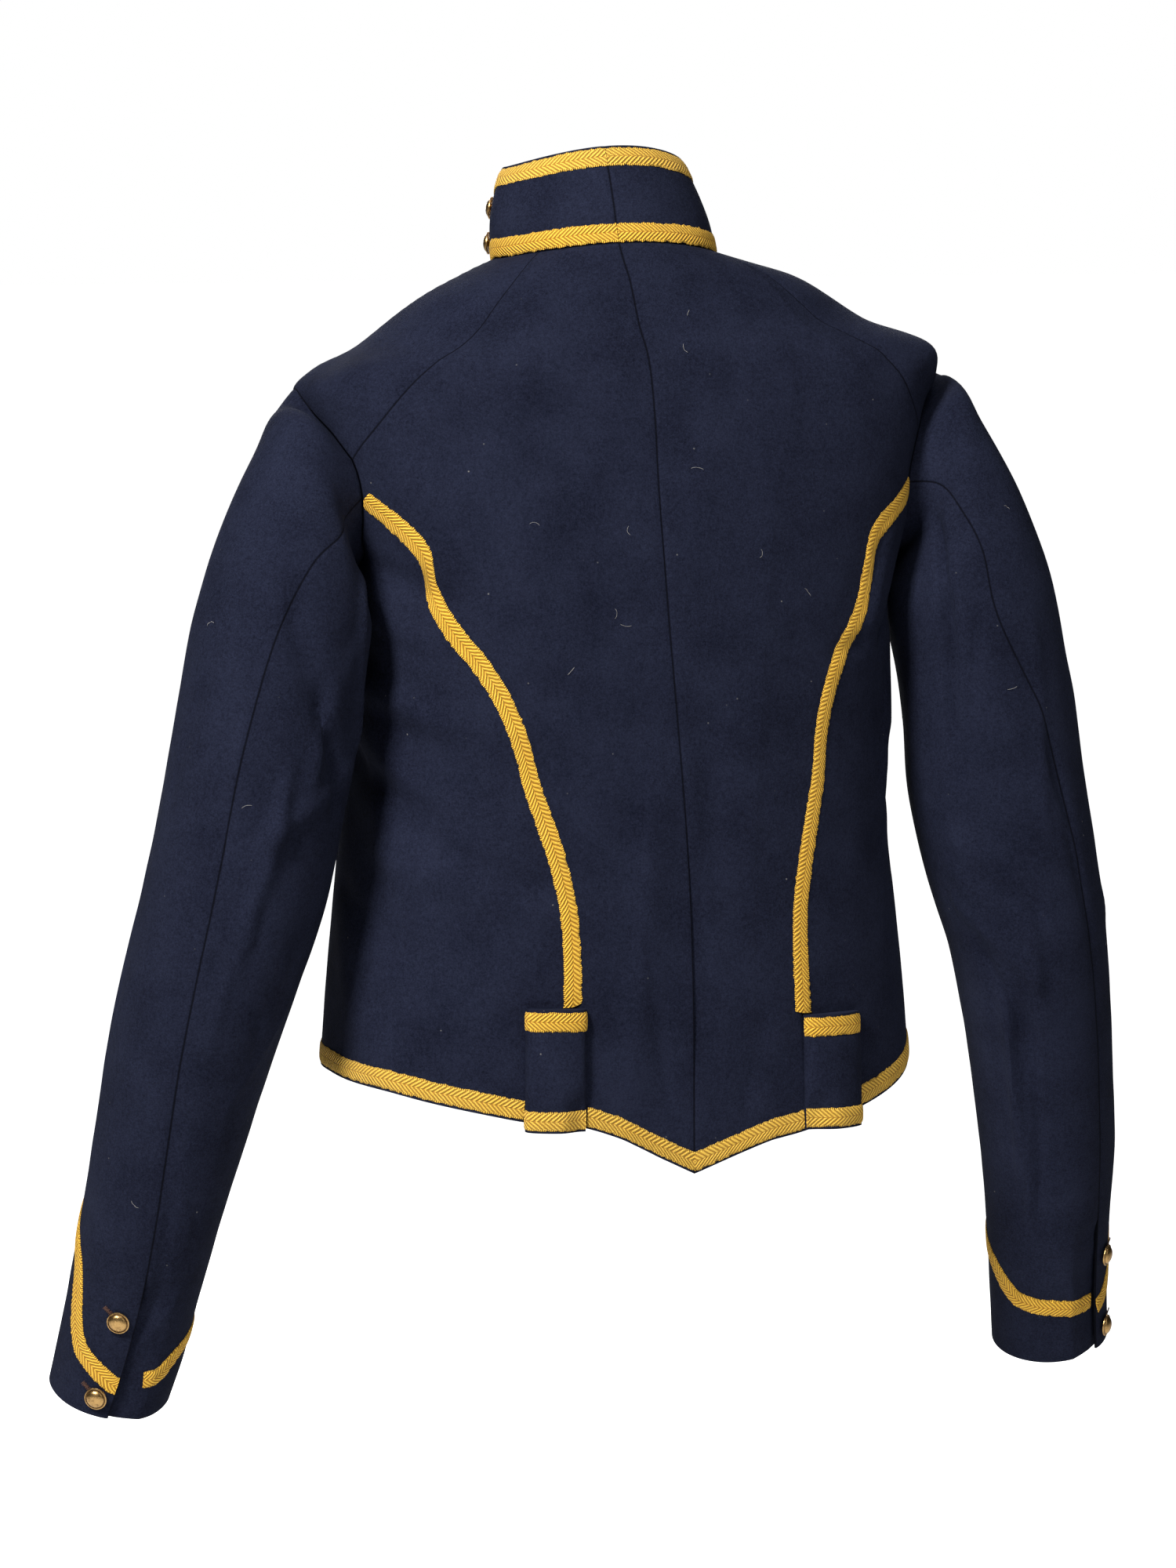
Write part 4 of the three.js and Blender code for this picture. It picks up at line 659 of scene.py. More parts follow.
def wallFaces(outer, inner):
    rows, columns = outer.shape[:2]
    index = np.arange(rows * columns).reshape(rows, columns)
    front = np.stack([index[:-1, :-1], index[:-1, 1:], index[1:, 1:], index[1:, :-1]], -1).reshape(-1, 4)
    back = front[:, ::-1] + rows * columns
    ring = np.concatenate([index[0, :], index[1:, -1], index[-1, ::-1][1:], index[:, 0][::-1][1:-1]])
    after = np.roll(ring, -1)
    rim = np.stack([after, ring, ring + rows * columns, after + rows * columns], -1)
    faces = np.concatenate([front, back, rim])
    i, j = min(rows // 2, rows - 2), min(columns // 2, columns - 2)
    normal = np.cross(outer[i, j + 1] - outer[i, j], outer[i + 1, j] - outer[i, j])
    if normal @ (outer[i, j] - inner[i, j]) < 0:
        faces = faces[:, ::-1]
    return faces


farFromSeam = 99.0


def wallBetween(name, outer, inner, flat, floats=None):
    points = np.concatenate([outer.reshape(-1, 3), inner.reshape(-1, 3)])
    flat = flat.reshape(-1, 2)
    return meshFrom(name, points, wallFaces(outer, inner), np.concatenate([flat, flat]), floats)


def sewPanel(name, panel, sewn):
    # a wall of cloth with soft valleys along its sewn edges, and the size of its cut in metres
    along, up = panel.along, panel.up
    edges = {"left": along, "right": along[:, -1:] - along, "bottom": up, "top": up[-1:] - up}
    away = np.full(panel.point.shape[:2], farFromSeam)
    for edge in sewn:
        away = np.minimum(away, edges[edge])
    dip = cloth["seamDip"] * np.exp(-((away / cloth["seamWide"]) ** 2))
    outer = panel.point - panel.outward * dip[..., None]
    inner = panel.point - panel.outward * cloth["thick"]
    flat = np.stack([along - along.mean(axis=1, keepdims=True), up], -1)
    piece = wallBetween(name, outer, inner, flat, {"seamAway": np.tile(away.ravel(), 2)})
    smoothByAngle(piece, 50)
    quad = np.cross(panel.point[1:, 1:] - panel.point[:-1, :-1], panel.point[1:, :-1] - panel.point[:-1, 1:])
    area = np.linalg.norm(quad, axis=-1).sum() / 2 * 1e-6
    wide, long = along[:, -1].max() * 0.001, up[-1].max() * 0.001
    grow = max(1.0, math.sqrt(area / (wide * long)) * 1.001)
    return piece, (float(wide * grow), float(long * grow)), float(area)


laceSet = {"wide": 12.0, "thick": 1.0, "sit": 0.06, "step": 0.9, "across": 8, "ragged": 0.34, "gap": 0.8}


def weaveTape(name, base, outward, wide=laceSet["wide"], thick=laceSet["thick"], ragged=laceSet["ragged"]):
    # a flat woven tape: base is stations by places across, soft at both edges
    stations, across = base.shape[:2]
    share = np.linspace(-1, 1, across)
    crown = 0.35 + 0.65 * (1 - np.abs(share) ** 5)
    jitter = dice.normal(size=(stations, 2)) * ragged
    jitter = 0.6 * jitter + 0.4 * np.roll(jitter, 1, axis=0)
    sideways = unit(base[:, -1] - base[:, 0])
    base = base.copy()
    base[:, 0] += sideways * jitter[:, :1]
    base[:, -1] += sideways * jitter[:, 1:]
    lift = dice.normal(size=stations)
    lift = np.convolve(np.concatenate([lift[:7], lift, lift[-7:]]), np.ones(9) / 9, "same")[7:-7] * 0.25
    high = laceSet["sit"] + thick * (crown[None] * (1 + 0.35 * lift[:, None]))
    along = lengthsAlong(base[:, across // 2], 0)
    flat = np.stack(np.broadcast_arrays(along[:, None], share[None] * wide / 2), -1)
    piece = wallBetween(name, base + outward * high[..., None], base + outward * laceSet["sit"], flat)
    smoothByAngle(piece, 70)
    return piece


def tapeThrough(name, panel, spots, *sizes):
    # spots holds a pair of row and column indices for each station
    base = np.array([panel.read(panel.point, i, j) for i, j in spots])
    outward = np.array([unit(panel.read(panel.outward, i, j)) for i, j in spots])
    return weaveTape(name, base, outward, *sizes)


def stationsAlong(line, ends):
    # indices at even steps along a line of lengths
    index = np.arange(len(line))
    low, high = np.interp(ends, index, line)
    return np.interp(np.linspace(low, high, max(int((high - low) / laceSet["step"]), 4)), line, index)


def tapeAlongRow(name, panel, fromTop, edge, start, end):
    columns = stationsAlong(panel.along[-1 if fromTop else 0], panel.columnIndex(np.array([start, end])))
    share = np.linspace(1, 0, laceSet["across"]) if fromTop else np.linspace(0, 1, laceSet["across"])
    spots = [(np.interp(edge + laceSet["wide"] * share, *panel.column(j, fromTop)), j) for j in columns]
    return tapeThrough(name, panel, spots)


def tapeUpSide(name, panel, edge, startRow, endRow):
    rows = stationsAlong(panel.up[:, -1], panel.rowIndex(np.array([startRow, endRow])))
    across = edge + laceSet["wide"] * np.linspace(1, 0, laceSet["across"])
    return tapeThrough(name, panel, [(i, np.interp(across, *panel.row(i, True))) for i in rows])


def tapeOverSeam(name, back, sideBody, firstRow, lastRow):
    stations = stationsAlong(sideBody.up[:, 0], sideBody.rowIndex(np.array([firstRow, lastRow])))
    rows = np.interp(stations, np.arange(len(sideBody.rowAt)), sideBody.rowAt)
    away = np.array((0.1, 0.38, 0.7, 1)) * laceSet["wide"] / 2
    base, outward = [], []
    for row in rows:
        points, normals = [], []
        for panel, fromEnd, across in ((back, True, away[::-1]), (sideBody, False, away)):
            i = float(panel.rowIndex(row))
            j = np.interp(across, *panel.row(i, fromEnd))
            points.append(panel.read(panel.point, i, j))
            normals.append(panel.read(panel.outward, i, j))
        base.append(np.concatenate(points))
        outward.append(unit(np.concatenate(normals)))
    return weaveTape(name, np.array(base), np.array(outward))


def tapeRoundCuff(name, side, panel, firstAngle, start, end):
    # follows the lace's curve and stays square to it
    columns, line = panel.columnAt, panel.along[-1]
    index = np.arange(len(line))
    angle = np.arange(firstAngle - 10, firstAngle + 190, 0.5)
    rise = np.interp(angle, cuffLine[:, 0], cuffLine[:, 1 if side > 0 else 2])
    rise = np.convolve(np.pad(rise, 8, mode="edge"), np.ones(17) / 17, "valid")
    arc = np.interp(angle, firstAngle + 180 * columns / columns[-1], line)
    first, last = np.interp(panel.columnIndex(np.array([start, columns[-1] - end])), index, line)
    inside = (arc > first) & (arc < last)
    path = np.stack([arc[inside], rise[inside]], -1)
    lengths = lengthsAlong(path, 0)
    even = np.arange(0, lengths[-1], laceSet["step"])
    path = np.stack([np.interp(even, lengths, path[:, k]) for k in (0, 1)], -1)
    forward = unit(np.gradient(path, axis=0))
    upright = np.stack([-forward[:, 1], forward[:, 0]], -1)
    spots = []
    for spot, lean in zip(path, upright):
        across = spot + lean * (np.linspace(1, -1, laceSet["across"]) * laceSet["wide"] / 2)[:, None]
        j = np.interp(across[:, 0], line, index)
        spots.append(([np.interp(high, *panel.column(k, True)) for k, high in zip(j, across[:, 1])], j))
    return tapeThrough(name, panel, spots)


loopSet = {"wide": 7.0, "slot": 1.5, "long": 92.0, "heights": (18.0, 36.0), "thick": 0.9, "ragged": 0.12}


def collarLoop(name, panel, high):
    # out along the collar, round the loop's end and back
    wide = loopSet["wide"]
    spread = (wide + loopSet["slot"]) / 2
    straight = loopSet["long"] - spread - wide / 2
    rowsHigh = float(panel.up[-1, -1]) / cloth["collarRows"]
    lengths, columns = panel.row(float(panel.rowIndex(high / rowsHigh)), True)
    runs = np.arange(cloth["edge"], straight, laceSet["step"])
    path = [(a, spread, 0, 1) for a in runs]
    for turn in np.radians(np.linspace(0, 180, 15)):
        sine, cosine = math.sin(turn), math.cos(turn)
        path.append((straight + spread * sine, spread * cosine, sine, cosine))
    path += [(a, -spread, 0, -1) for a in runs[::-1]]
    share = np.linspace(-0.5, 0.5, laceSet["across"]) * wide
    spots = []
    for along, up, sideAlong, sideUp in path:
        j = np.interp(along + sideAlong * share, lengths, columns)
        spots.append((panel.rowIndex((high + up + sideUp * share) / rowsHigh), j))
    return tapeThrough(name, panel, spots, wide, loopSet["thick"], loopSet["ragged"])


# Brass buttons
buttonSet = {
    "radius": 7.25, "high": 5.2, "shank": 2.4, "shankHigh": 1.5, "around": 40, "plate": 0.6, "plateAt": 0.5,
    "rim": ((0.45, 0.28), (0.35, 0.0), (0.25, -0.42), (0.25, 0.05)), "rimTop": 0.71, "domeSteps": 8,
}


def modelButton(s):
    # a domed face pressed over a rim, on a short shank; made once at the origin, in metres
    bpy.ops.object.select_all(action="DESELECT")
    bpy.ops.mesh.primitive_cylinder_add(
        vertices=s["around"], radius=s["radius"] * 0.001, depth=s["plate"] * 0.001,
        location=(0, 0, (s["shankHigh"] + s["plateAt"]) * 0.001))
    button = bpy.context.object
    bpy.ops.object.mode_set(mode="EDIT")

    def pickCap(way):
        bpy.ops.mesh.select_all(action="DESELECT")
        bpy.ops.object.mode_set(mode="OBJECT")
        caps = [p for p in button.data.polygons if p.normal.z * way > 0.9 and len(p.vertices) > 4]
        caps[0].select = True
        bpy.ops.object.mode_set(mode="EDIT")

    def stepIn(shrink, lift):
        bpy.ops.mesh.inset(thickness=shrink * 0.001, depth=0)
        bpy.ops.transform.translate(value=(0, 0, lift * 0.001))

    # rim, groove, then the dome in steps that flatten towards the top
    pickCap(1)
    for shrink, lift in s["rim"]:
        stepIn(shrink, lift)
    left = s["radius"] - sum(shrink for shrink, lift in s["rim"])
    domeHigh = s["high"] - s["shankHigh"] - s["rimTop"]
    quarter = math.pi / 2 / s["domeSteps"]
    for k in range(1, s["domeSteps"]):
        shrink = left * (math.cos(quarter * (k - 1)) - math.cos(quarter * k))
        stepIn(shrink, domeHigh * (math.sin(quarter * k) - math.sin(quarter * (k - 1))))
    bpy.ops.mesh.poke()
    pickCap(-1)
    bpy.ops.mesh.inset(thickness=(s["radius"] - s["shank"]) * 0.001, depth=0)
    bpy.ops.mesh.extrude_region_move(TRANSFORM_OT_translate={"value": (0, 0, -s["shankHigh"] * 0.001)})
    bpy.ops.mesh.select_all(action="SELECT")
    bpy.ops.mesh.normals_make_consistent(inside=False)
    bpy.ops.object.mode_set(mode="OBJECT")
    bpy.ops.object.transform_apply(location=True, rotation=True, scale=True)
    layer = button.data.uv_layers.new(name="face")
    for loop in button.data.loops:
        spot = button.data.vertices[loop.vertex_index].co
        layer.data[loop.index].uv = (spot.x, spot.y)
    smoothByAngle(button, 55)
    return button


def sewButton(name, master, point, outward, turn, lift=0.0):
    piece = bpy.data.objects.new(name, master.data.copy())
    bpy.context.scene.collection.objects.link(piece)
    lean = Vector(outward).normalized().to_track_quat("Z", "Y").to_matrix().to_4x4()
    place = Matrix.Translation(Vector((point + outward * lift) * 0.001)) @ lean
    piece.data.transform(place @ Matrix.Rotation(turn, 4, "Z"))
    return piece


# Thread
def threadMesh(name, runs, radius):
    # short bars of thread, each along a list of points in millimetres
    points, faces = [], []
    sides = 6
    for run in runs:
        run = np.array(run)
        direction = unit(np.gradient(run, axis=0))
        first = unit(np.cross(direction, np.array([0.31, 0.17, 0.93])))
        second = np.cross(direction, first)
        start, last = len(points), len(run) - 1
        for k in range(len(run)):
            size = radius * (0.55 if k in (0, last) else 1)
            for turn in np.arange(sides) * 2 * math.pi / sides:
                points.append(run[k] + size * (first[k] * math.cos(turn) + second[k] * math.sin(turn)))
        for k in range(last):
            for q in range(sides):
                a, b = start + k * sides + q, start + k * sides + (q + 1) % sides
                faces.append([a, b, b + sides, a + sides])
        for end, way in ((start, -1), (start + last * sides, 1)):
            cap = [end + q for q in range(sides)][::way]
            faces += [[cap[0], cap[1], cap[2], cap[3]], [cap[0], cap[3], cap[4], cap[5]]]
    points = np.array(points)
    piece = meshFrom(name, points, np.array(faces), points[:, :2])
    selectOnly(piece)
    bpy.ops.object.mode_set(mode="EDIT")
    bpy.ops.mesh.select_all(action="SELECT")
    bpy.ops.mesh.normals_make_consistent(inside=False)
    bpy.ops.object.mode_set(mode="OBJECT")
    smoothByAngle(piece, 60)
    return piece


def strayFibre(panel, i, j):
    # a short curled fibre lying on the cloth
    point, outward = panel.read(panel.point, i, j), unit(panel.read(panel.outward, i, j))
    heading, bend, step = random.uniform(0, 6.28), random.uniform(-0.3, 0.3), random.uniform(0.5, 1.1)
    side = unit(np.cross(outward, np.array([0.2, 0.3, 1.0])))
    up = np.cross(side, outward)
    run = []
    for k in range(9):
        run.append(point + outward * (0.25 + 0.25 * math.sin(k * 1.3)))
        point = point + (side * math.cos(heading) + up * math.sin(heading)) * step
        heading += bend
    return run


def buttonhole(name, point, outward, along, long):
    # worked bars on both sides of a slit that runs from point along the cloth
    along = unit(along - outward * (along @ outward))
    cross = np.cross(outward, along)
    runs = []
    for k in np.arange(0, long, 0.62):
        for edge in (-1, 1):
            reach = 1.25 + random.uniform(-0.25, 0.3)
            near = point + along * (k + random.uniform(-0.1, 0.1)) + cross * edge * 0.18
            far = near + cross * edge * reach + along * random.uniform(-0.25, 0.25)
            runs.append([near + outward * 0.1, (near + far) / 2 + outward * 0.42, far + outward * 0.05])
    for edge in (-1, 1):
        lip = point + cross * edge * 0.2 + outward * 0.36
        runs.append([lip + along * t * long for t in np.linspace(0, 1, 5)])
    return threadMesh(name, runs, 0.24)


print("tools ready")


# Shader effects that the materials share
def socketsOf(tree, inputs, outputs):
    for name, kind, value in inputs:
        item = tree.interface.new_socket(name=name, in_out="INPUT", socket_type=kind)
        if value is not None:
            item.default_value = value
    for name, kind in outputs:
        tree.interface.new_socket(name=name, in_out="OUTPUT", socket_type=kind)
    return tree.nodes.new("NodeGroupInput"), tree.nodes.new("NodeGroupOutput")


class Net:
    # short words for placing and joining nodes
    def __init__(self, tree):
        self.tree = tree

    def add(self, kind, inputs=None, **settings):
        node = self.tree.nodes.new(kind)
        for key, value in settings.items():
            setattr(node, key, value)
        for key, value in (inputs or {}).items():
            self.put(node.inputs[key], value)
        return node

    def put(self, socket, value):
        if isinstance(value, bpy.types.NodeSocket):
            self.tree.links.new(value, socket)
        else:
            socket.default_value = value

    def math(self, operation, a, b=None, c=None, clamp=False):
        node = self.tree.nodes.new("ShaderNodeMath")
        node.operation = operation
        node.use_clamp = clamp
        for k, value in enumerate((a, b, c)):
            if value is not None:
                self.put(node.inputs[k], value)
        return node.outputs[0]

    def scaled(self, value, factor):
        return self.math("MULTIPLY", value, factor)

    def spread(self, value, gain, middle=0.5):
        # how far a pattern departs from its middle
        return self.scaled(self.math("SUBTRACT", value, middle), gain)

    def wave(self, value, length):
        turns = self.math("DIVIDE", self.scaled(value, 2 * math.pi), length)
        return self.math("MULTIPLY_ADD", self.math("SINE", turns), 0.5, 0.5)

    def mapRange(self, value, low, high, outLow=0.0, outHigh=1.0, kind="SMOOTHSTEP"):
        node = self.add("ShaderNodeMapRange", interpolation_type=kind)
        sockets = ("Value", "From Min", "From Max", "To Min", "To Max")
        for key, number in zip(sockets, (value, low, high, outLow, outHigh)):
            self.put(node.inputs[key], number)
        return node.outputs[0]

    def noise(self, vector, scale, detail=2.0, roughness=0.5):
        inputs = {"Vector": vector, "Scale": scale, "Detail": detail, "Roughness": roughness}
        return self.add("ShaderNodeTexNoise", inputs).outputs[0]

    def mixColor(self, share, a, b, kind="MIX"):
        node = self.add("ShaderNodeMix", data_type="RGBA", blend_type=kind)
        self.put(node.inputs[0], share)
        self.put(node.inputs[6], a)
        self.put(node.inputs[7], b)
        return node.outputs[2]


def fulledWool():
    # short felted nap over a fine twill, cloudy dye, pale lint caught in it, and painted shade along the
    # seams
    tree = bpy.data.node_groups.new("fulledWool", "ShaderNodeTree")
    start, end = socketsOf(tree, [
        ("Place", "NodeSocketVector", None), ("Cut", "NodeSocketVector", None),
        ("Dark", "NodeSocketColor", (0.01, 0.012, 0.025, 1)),
        ("Light", "NodeSocketColor", (0.02, 0.026, 0.05, 1)),
        ("Lint", "NodeSocketFloat", 0.5), ("Seam Away", "NodeSocketFloat", farFromSeam),
    ], [("Color", "NodeSocketColor"), ("Height", "NodeSocketFloat"), ("Roughness", "NodeSocketFloat")])
    n = Net(tree)
    place = start.outputs["Place"]
    nap, felt = n.noise(place, 1500.0, 3.0, 0.65), n.noise(place, 420.0, 4.0, 0.6)
    cloud = n.noise(place, 26.0, 3.0, 0.55)
    split = n.add("ShaderNodeSeparateXYZ", {0: start.outputs["Cut"]})
    run = n.math("ADD", split.outputs[0], n.scaled(split.outputs[1], 1.9))
    twill = n.wave(n.math("ADD", run, n.scaled(n.noise(place, 300.0, 2.0), 0.0016)), 0.00105)
    grain = n.math("ADD", n.scaled(nap, 0.55), n.math("ADD", n.scaled(felt, 0.5), n.scaled(twill, 0.13)))
    mottle = n.spread(n.noise(place, 900.0, 2.0), 1.1)
    tone = n.math("MULTIPLY_ADD", n.math("SUBTRACT", grain, 0.59), 2.0, n.spread(cloud, 0.9))
    tone = n.math("ADD", n.math("ADD", tone, mottle), 0.5, clamp=True)
    body = n.mixColor(tone, start.outputs["Dark"], start.outputs["Light"])
    # lint: few pale specks and short fibres
    speck = n.add("ShaderNodeTexVoronoi", {"Vector": place, "Scale": 95.0})
    few = n.mapRange(speck.outputs["Color"], 0.68, 0.95)
    speckMask = n.scaled(n.mapRange(speck.outputs["Distance"], 0.0, 0.075, 1.0, 0.0), few)
    sway = n.add("ShaderNodeTexNoise", {"Vector": place, "Scale": 60.0}).outputs[1]
    sway = n.add("ShaderNodeVectorMath", {0: sway, 1: (0.02, 0.02, 0.02)}, operation="MULTIPLY").outputs[0]
    bent = n.add("ShaderNodeVectorMath", {0: place, 1: sway}, operation="ADD").outputs[0]
    long = n.add("ShaderNodeMapping", {"Vector": bent, "Scale": (1.0, 1.0, 0.07)}).outputs[0]
    fibre = n.add("ShaderNodeTexVoronoi", {"Vector": long, "Scale": 170.0})
    few = n.mapRange(fibre.outputs["Color"], 0.88, 1.0)
    fibreMask = n.scaled(n.mapRange(fibre.outputs["Distance"], 0.0, 0.035, 1.0, 0.0), few)
    lint = n.scaled(n.math("ADD", speckMask, n.scaled(fibreMask, 0.6), clamp=True), start.outputs["Lint"])
    body = n.mixColor(lint, body, (0.26, 0.25, 0.24, 1))
    # painted shade: the join's shallow valley is darkened in colour towards near black
    line = n.mapRange(start.outputs["Seam Away"], 0.1, 1.15, 0.85, 0.0)
    n.put(end.inputs["Color"], n.mixColor(line, body, (0.0015, 0.0016, 0.003, 1)))
    n.put(end.inputs["Height"], n.math("ADD", grain, n.scaled(lint, 0.6)))
    n.put(end.inputs["Roughness"], n.mapRange(felt, 0.3, 0.7, 0.86, 0.98, "LINEAR"))
    return tree


def herringbone():
    # chevrons meeting on a spine, with looped edges, and painted shade where the weave is low; Cut is metres
    # along and across
    tree = bpy.data.node_groups.new("herringbone", "ShaderNodeTree")
    start, end = socketsOf(tree, [
        ("Place", "NodeSocketVector", None), ("Cut", "NodeSocketVector", None),
        ("Half Width", "NodeSocketFloat", 0.006), ("Pitch", "NodeSocketFloat", 0.0017),
        ("Steepness", "NodeSocketFloat", 1.15),
    ], [("Height", "NodeSocketFloat"), ("Hollow Shade", "NodeSocketFloat"), ("Tone", "NodeSocketFloat")])
    n = Net(tree)
    place = start.outputs["Place"]
    split = n.add("ShaderNodeSeparateXYZ", {0: start.outputs["Cut"]})
    along = n.math("ADD", split.outputs[0], n.spread(n.noise(place, 260.0, 2.0), 0.0011))
    side = n.math("ABSOLUTE", split.outputs[1])
    rib = n.wave(n.math("ADD", along, n.scaled(side, start.outputs["Steepness"])), start.outputs["Pitch"])
    strand = n.wave(n.math("SUBTRACT", along, n.scaled(side, 0.9)), 0.00078)
    loops = n.wave(along, 0.00135)
    spine = n.mapRange(side, 0.0, 0.0006, 0.45, 1.0)
    nearEdge = n.mapRange(n.math("SUBTRACT", start.outputs["Half Width"], side), 0.0004, 0.0014, 1.0, 0.0)
    weave = n.math("ADD", n.scaled(rib, 0.8), n.scaled(strand, 0.2))
    inside = n.scaled(weave, n.math("SUBTRACT", 1.0, nearEdge))
    height = n.scaled(n.math("ADD", inside, n.scaled(loops, nearEdge)), spine)
    worn, fuzz = n.noise(place, 55.0, 3.0), n.noise(place, 900.0, 2.0)
    tone = n.math("ADD", n.scaled(worn, 0.6), n.scaled(fuzz, 0.4))
    n.put(end.inputs["Height"], n.math("ADD", height, n.scaled(n.noise(place, 2600.0, 2.0), 0.35)))
    # painted shade: the low parts of the weave and its spine darken the thread's colour
    n.put(end.inputs["Hollow Shade"], n.mapRange(height, 0.12, 0.7, 1.0, 0.0))
    n.put(end.inputs["Tone"], tone)
    return tree


def agedMetal():
    # tarnish in the groove beside the rim and in blotches, over a fine grain
    tree = bpy.data.node_groups.new("agedMetal", "ShaderNodeTree")
    start, end = socketsOf(tree, [
        ("Place", "NodeSocketVector", None), ("Face", "NodeSocketVector", None),
        ("Rim", "NodeSocketFloat", 0.0062),
    ], [("Tarnish", "NodeSocketFloat"), ("Height", "NodeSocketFloat"), ("Roughness", "NodeSocketFloat")])
    n = Net(tree)
    place = start.outputs["Place"]
    out = n.add("ShaderNodeVectorMath", {0: start.outputs["Face"]}, operation="LENGTH").outputs["Value"]
    fromRim = n.math("ABSOLUTE", n.math("SUBTRACT", out, start.outputs["Rim"]))
    groove = n.mapRange(fromRim, 0.0, 0.0008, 1.0, 0.0)
    blotch = n.noise(place, 420.0, 4.0, 0.6)
    fine = n.noise(place, 2400.0, 3.0, 0.6)
    tarnish = n.math("ADD", n.scaled(groove, 0.75), n.mapRange(blotch, 0.45, 0.75, 0.0, 0.6), clamp=True)
    rough = n.math("ADD", n.scaled(tarnish, 0.28), n.math("MULTIPLY_ADD", fine, 0.16, 0.2))
    n.put(end.inputs["Tarnish"], tarnish)
    n.put(end.inputs["Height"], n.math("ADD", n.scaled(fine, 0.5), n.scaled(blotch, 0.8)))
    n.put(end.inputs["Roughness"], rough)
    return tree


woolEffect, laceEffect, metalEffect = fulledWool(), herringbone(), agedMetal()


def newMaterial(name):
    material = bpy.data.materials.new(name)
    material.use_nodes = True
    material.node_tree.nodes.clear()
    n = Net(material.node_tree)
    shader = n.add("ShaderNodeBsdfPrincipled")
    n.add("ShaderNodeOutputMaterial", {"Surface": shader.outputs[0]})
    return material, n, shader, n.add("ShaderNodeTexCoord").outputs["Object"]


def bumpInto(n, shader, height, strength, distance):
    bump = n.add("ShaderNodeBump", {"Height": height})
    bump.inputs["Strength"].default_value = strength
    bump.inputs["Distance"].default_value = distance
    n.put(shader.inputs["Normal"], bump.outputs[0])


def clothSheen(shader, specular, sheen, rough):
    shader.inputs["Specular IOR Level"].default_value = specular
    shader.inputs["Sheen Weight"].default_value = sheen
    shader.inputs["Sheen Roughness"].default_value = rough


woolSet = {
    "dark": (0.0042, 0.0050, 0.0118, 1), "light": (0.0170, 0.0204, 0.0404, 1), "lint": 0.9,
    "sheenTint": (0.55, 0.66, 1.0, 1), "bump": 0.8, "deep": 0.0009,
}


def woolMaterial(name, s):
    material, n, shader, place = newMaterial(name)
    cut = n.add("ShaderNodeUVMap", uv_map="cut").outputs[0]
    away = n.add("ShaderNodeAttribute", attribute_name="seamAway").outputs["Fac"]
    effect = n.add("ShaderNodeGroup", {}, node_tree=woolEffect)
    for key, value in (
        ("Place", place), ("Cut", cut), ("Dark", s["dark"]), ("Light", s["light"]), ("Lint", s["lint"]),
        ("Seam Away", away),
    ):
        n.put(effect.inputs[key], value)
    n.put(shader.inputs["Base Color"], effect.outputs["Color"])
    n.put(shader.inputs["Roughness"], effect.outputs["Roughness"])
    clothSheen(shader, 0.05, 0.007, 0.45)
    shader.inputs["Sheen Tint"].default_value = s["sheenTint"]
    bumpInto(n, shader, effect.outputs["Height"], s["bump"], s["deep"])
    return material


# Lace: colours of the thread, bright and pale, mixed at random, and the colour of painted shade in the
# weave's hollows, then half the width and the weave's step in metres
laceLook = {
    "lit": (0.94, 0.52, 0.036, 1), "pale": (0.96, 0.62, 0.095, 1), "hollowShade": (0.34, 0.13, 0.008, 1),
    "half": 0.006, "pitch": 0.0029,
}
narrowLook = dict(laceLook, half=0.0035, pitch=0.0022)
# a paler copy of the lace with lighter hollows, as painted light: used for the hem, the pads' feet and the
# collar's top edge
paintedLightLook = {
    "lit": (0.92, 0.53, 0.045, 1), "pale": (0.90, 0.60, 0.12, 1), "hollowShade": (0.34, 0.15, 0.016, 1),
    "half": 0.006, "pitch": 0.0031,
}


def laceMaterial(name, s):
    material, n, shader, place = newMaterial(name)
    cut = n.add("ShaderNodeUVMap", uv_map="cut").outputs[0]
    effect = n.add("ShaderNodeGroup", {}, node_tree=laceEffect)
    for key, value in (("Place", place), ("Cut", cut), ("Half Width", s["half"]), ("Pitch", s["pitch"])):
        n.put(effect.inputs[key], value)
    thread = n.mixColor(effect.outputs["Tone"], s["lit"], s["pale"])
    # painted shade: the thread's colour is mixed towards the dark hollow colour where the weave is low
    shade = n.scaled(effect.outputs["Hollow Shade"], 0.9)
    n.put(shader.inputs["Base Color"], n.mixColor(shade, thread, s["hollowShade"]))
    n.put(shader.inputs["Roughness"], n.mapRange(effect.outputs["Tone"], 0.3, 0.7, 0.68, 0.86, "LINEAR"))
    clothSheen(shader, 0.15, 0.04, 0.5)
    bumpInto(n, shader, effect.outputs["Height"], 1.0, 0.0010)
    return material


brassSet = {
    "bright": (0.50, 0.31, 0.12, 1), "tarnish": (0.10, 0.05, 0.022, 1), "bump": 0.35, "deep": 0.0003,
}


def brassMaterial(name, s):
    material, n, shader, place = newMaterial(name)
    face = n.add("ShaderNodeUVMap", uv_map="face").outputs[0]
    effect = n.add("ShaderNodeGroup", {}, node_tree=metalEffect)
    n.put(effect.inputs["Place"], place)
    n.put(effect.inputs["Face"], face)
    n.put(shader.inputs["Base Color"], n.mixColor(effect.outputs["Tarnish"], s["bright"], s["tarnish"]))
    n.put(shader.inputs["Roughness"], effect.outputs["Roughness"])
    shader.inputs["Metallic"].default_value = 1.0
    bumpInto(n, shader, effect.outputs["Height"], s["bump"], s["deep"])
    return material


def threadMaterial(name, dark, light):
    material, n, shader, place = newMaterial(name)
    tone = n.noise(place, 1700.0, 3.0)
    n.put(shader.inputs["Base Color"], n.mixColor(tone, dark, light))
    n.put(shader.inputs["Roughness"], n.mapRange(tone, 0.3, 0.7, 0.6, 0.85, "LINEAR"))
    bumpInto(n, shader, n.noise(place, 4200.0, 2.0), 0.6, 0.0002)
    return material


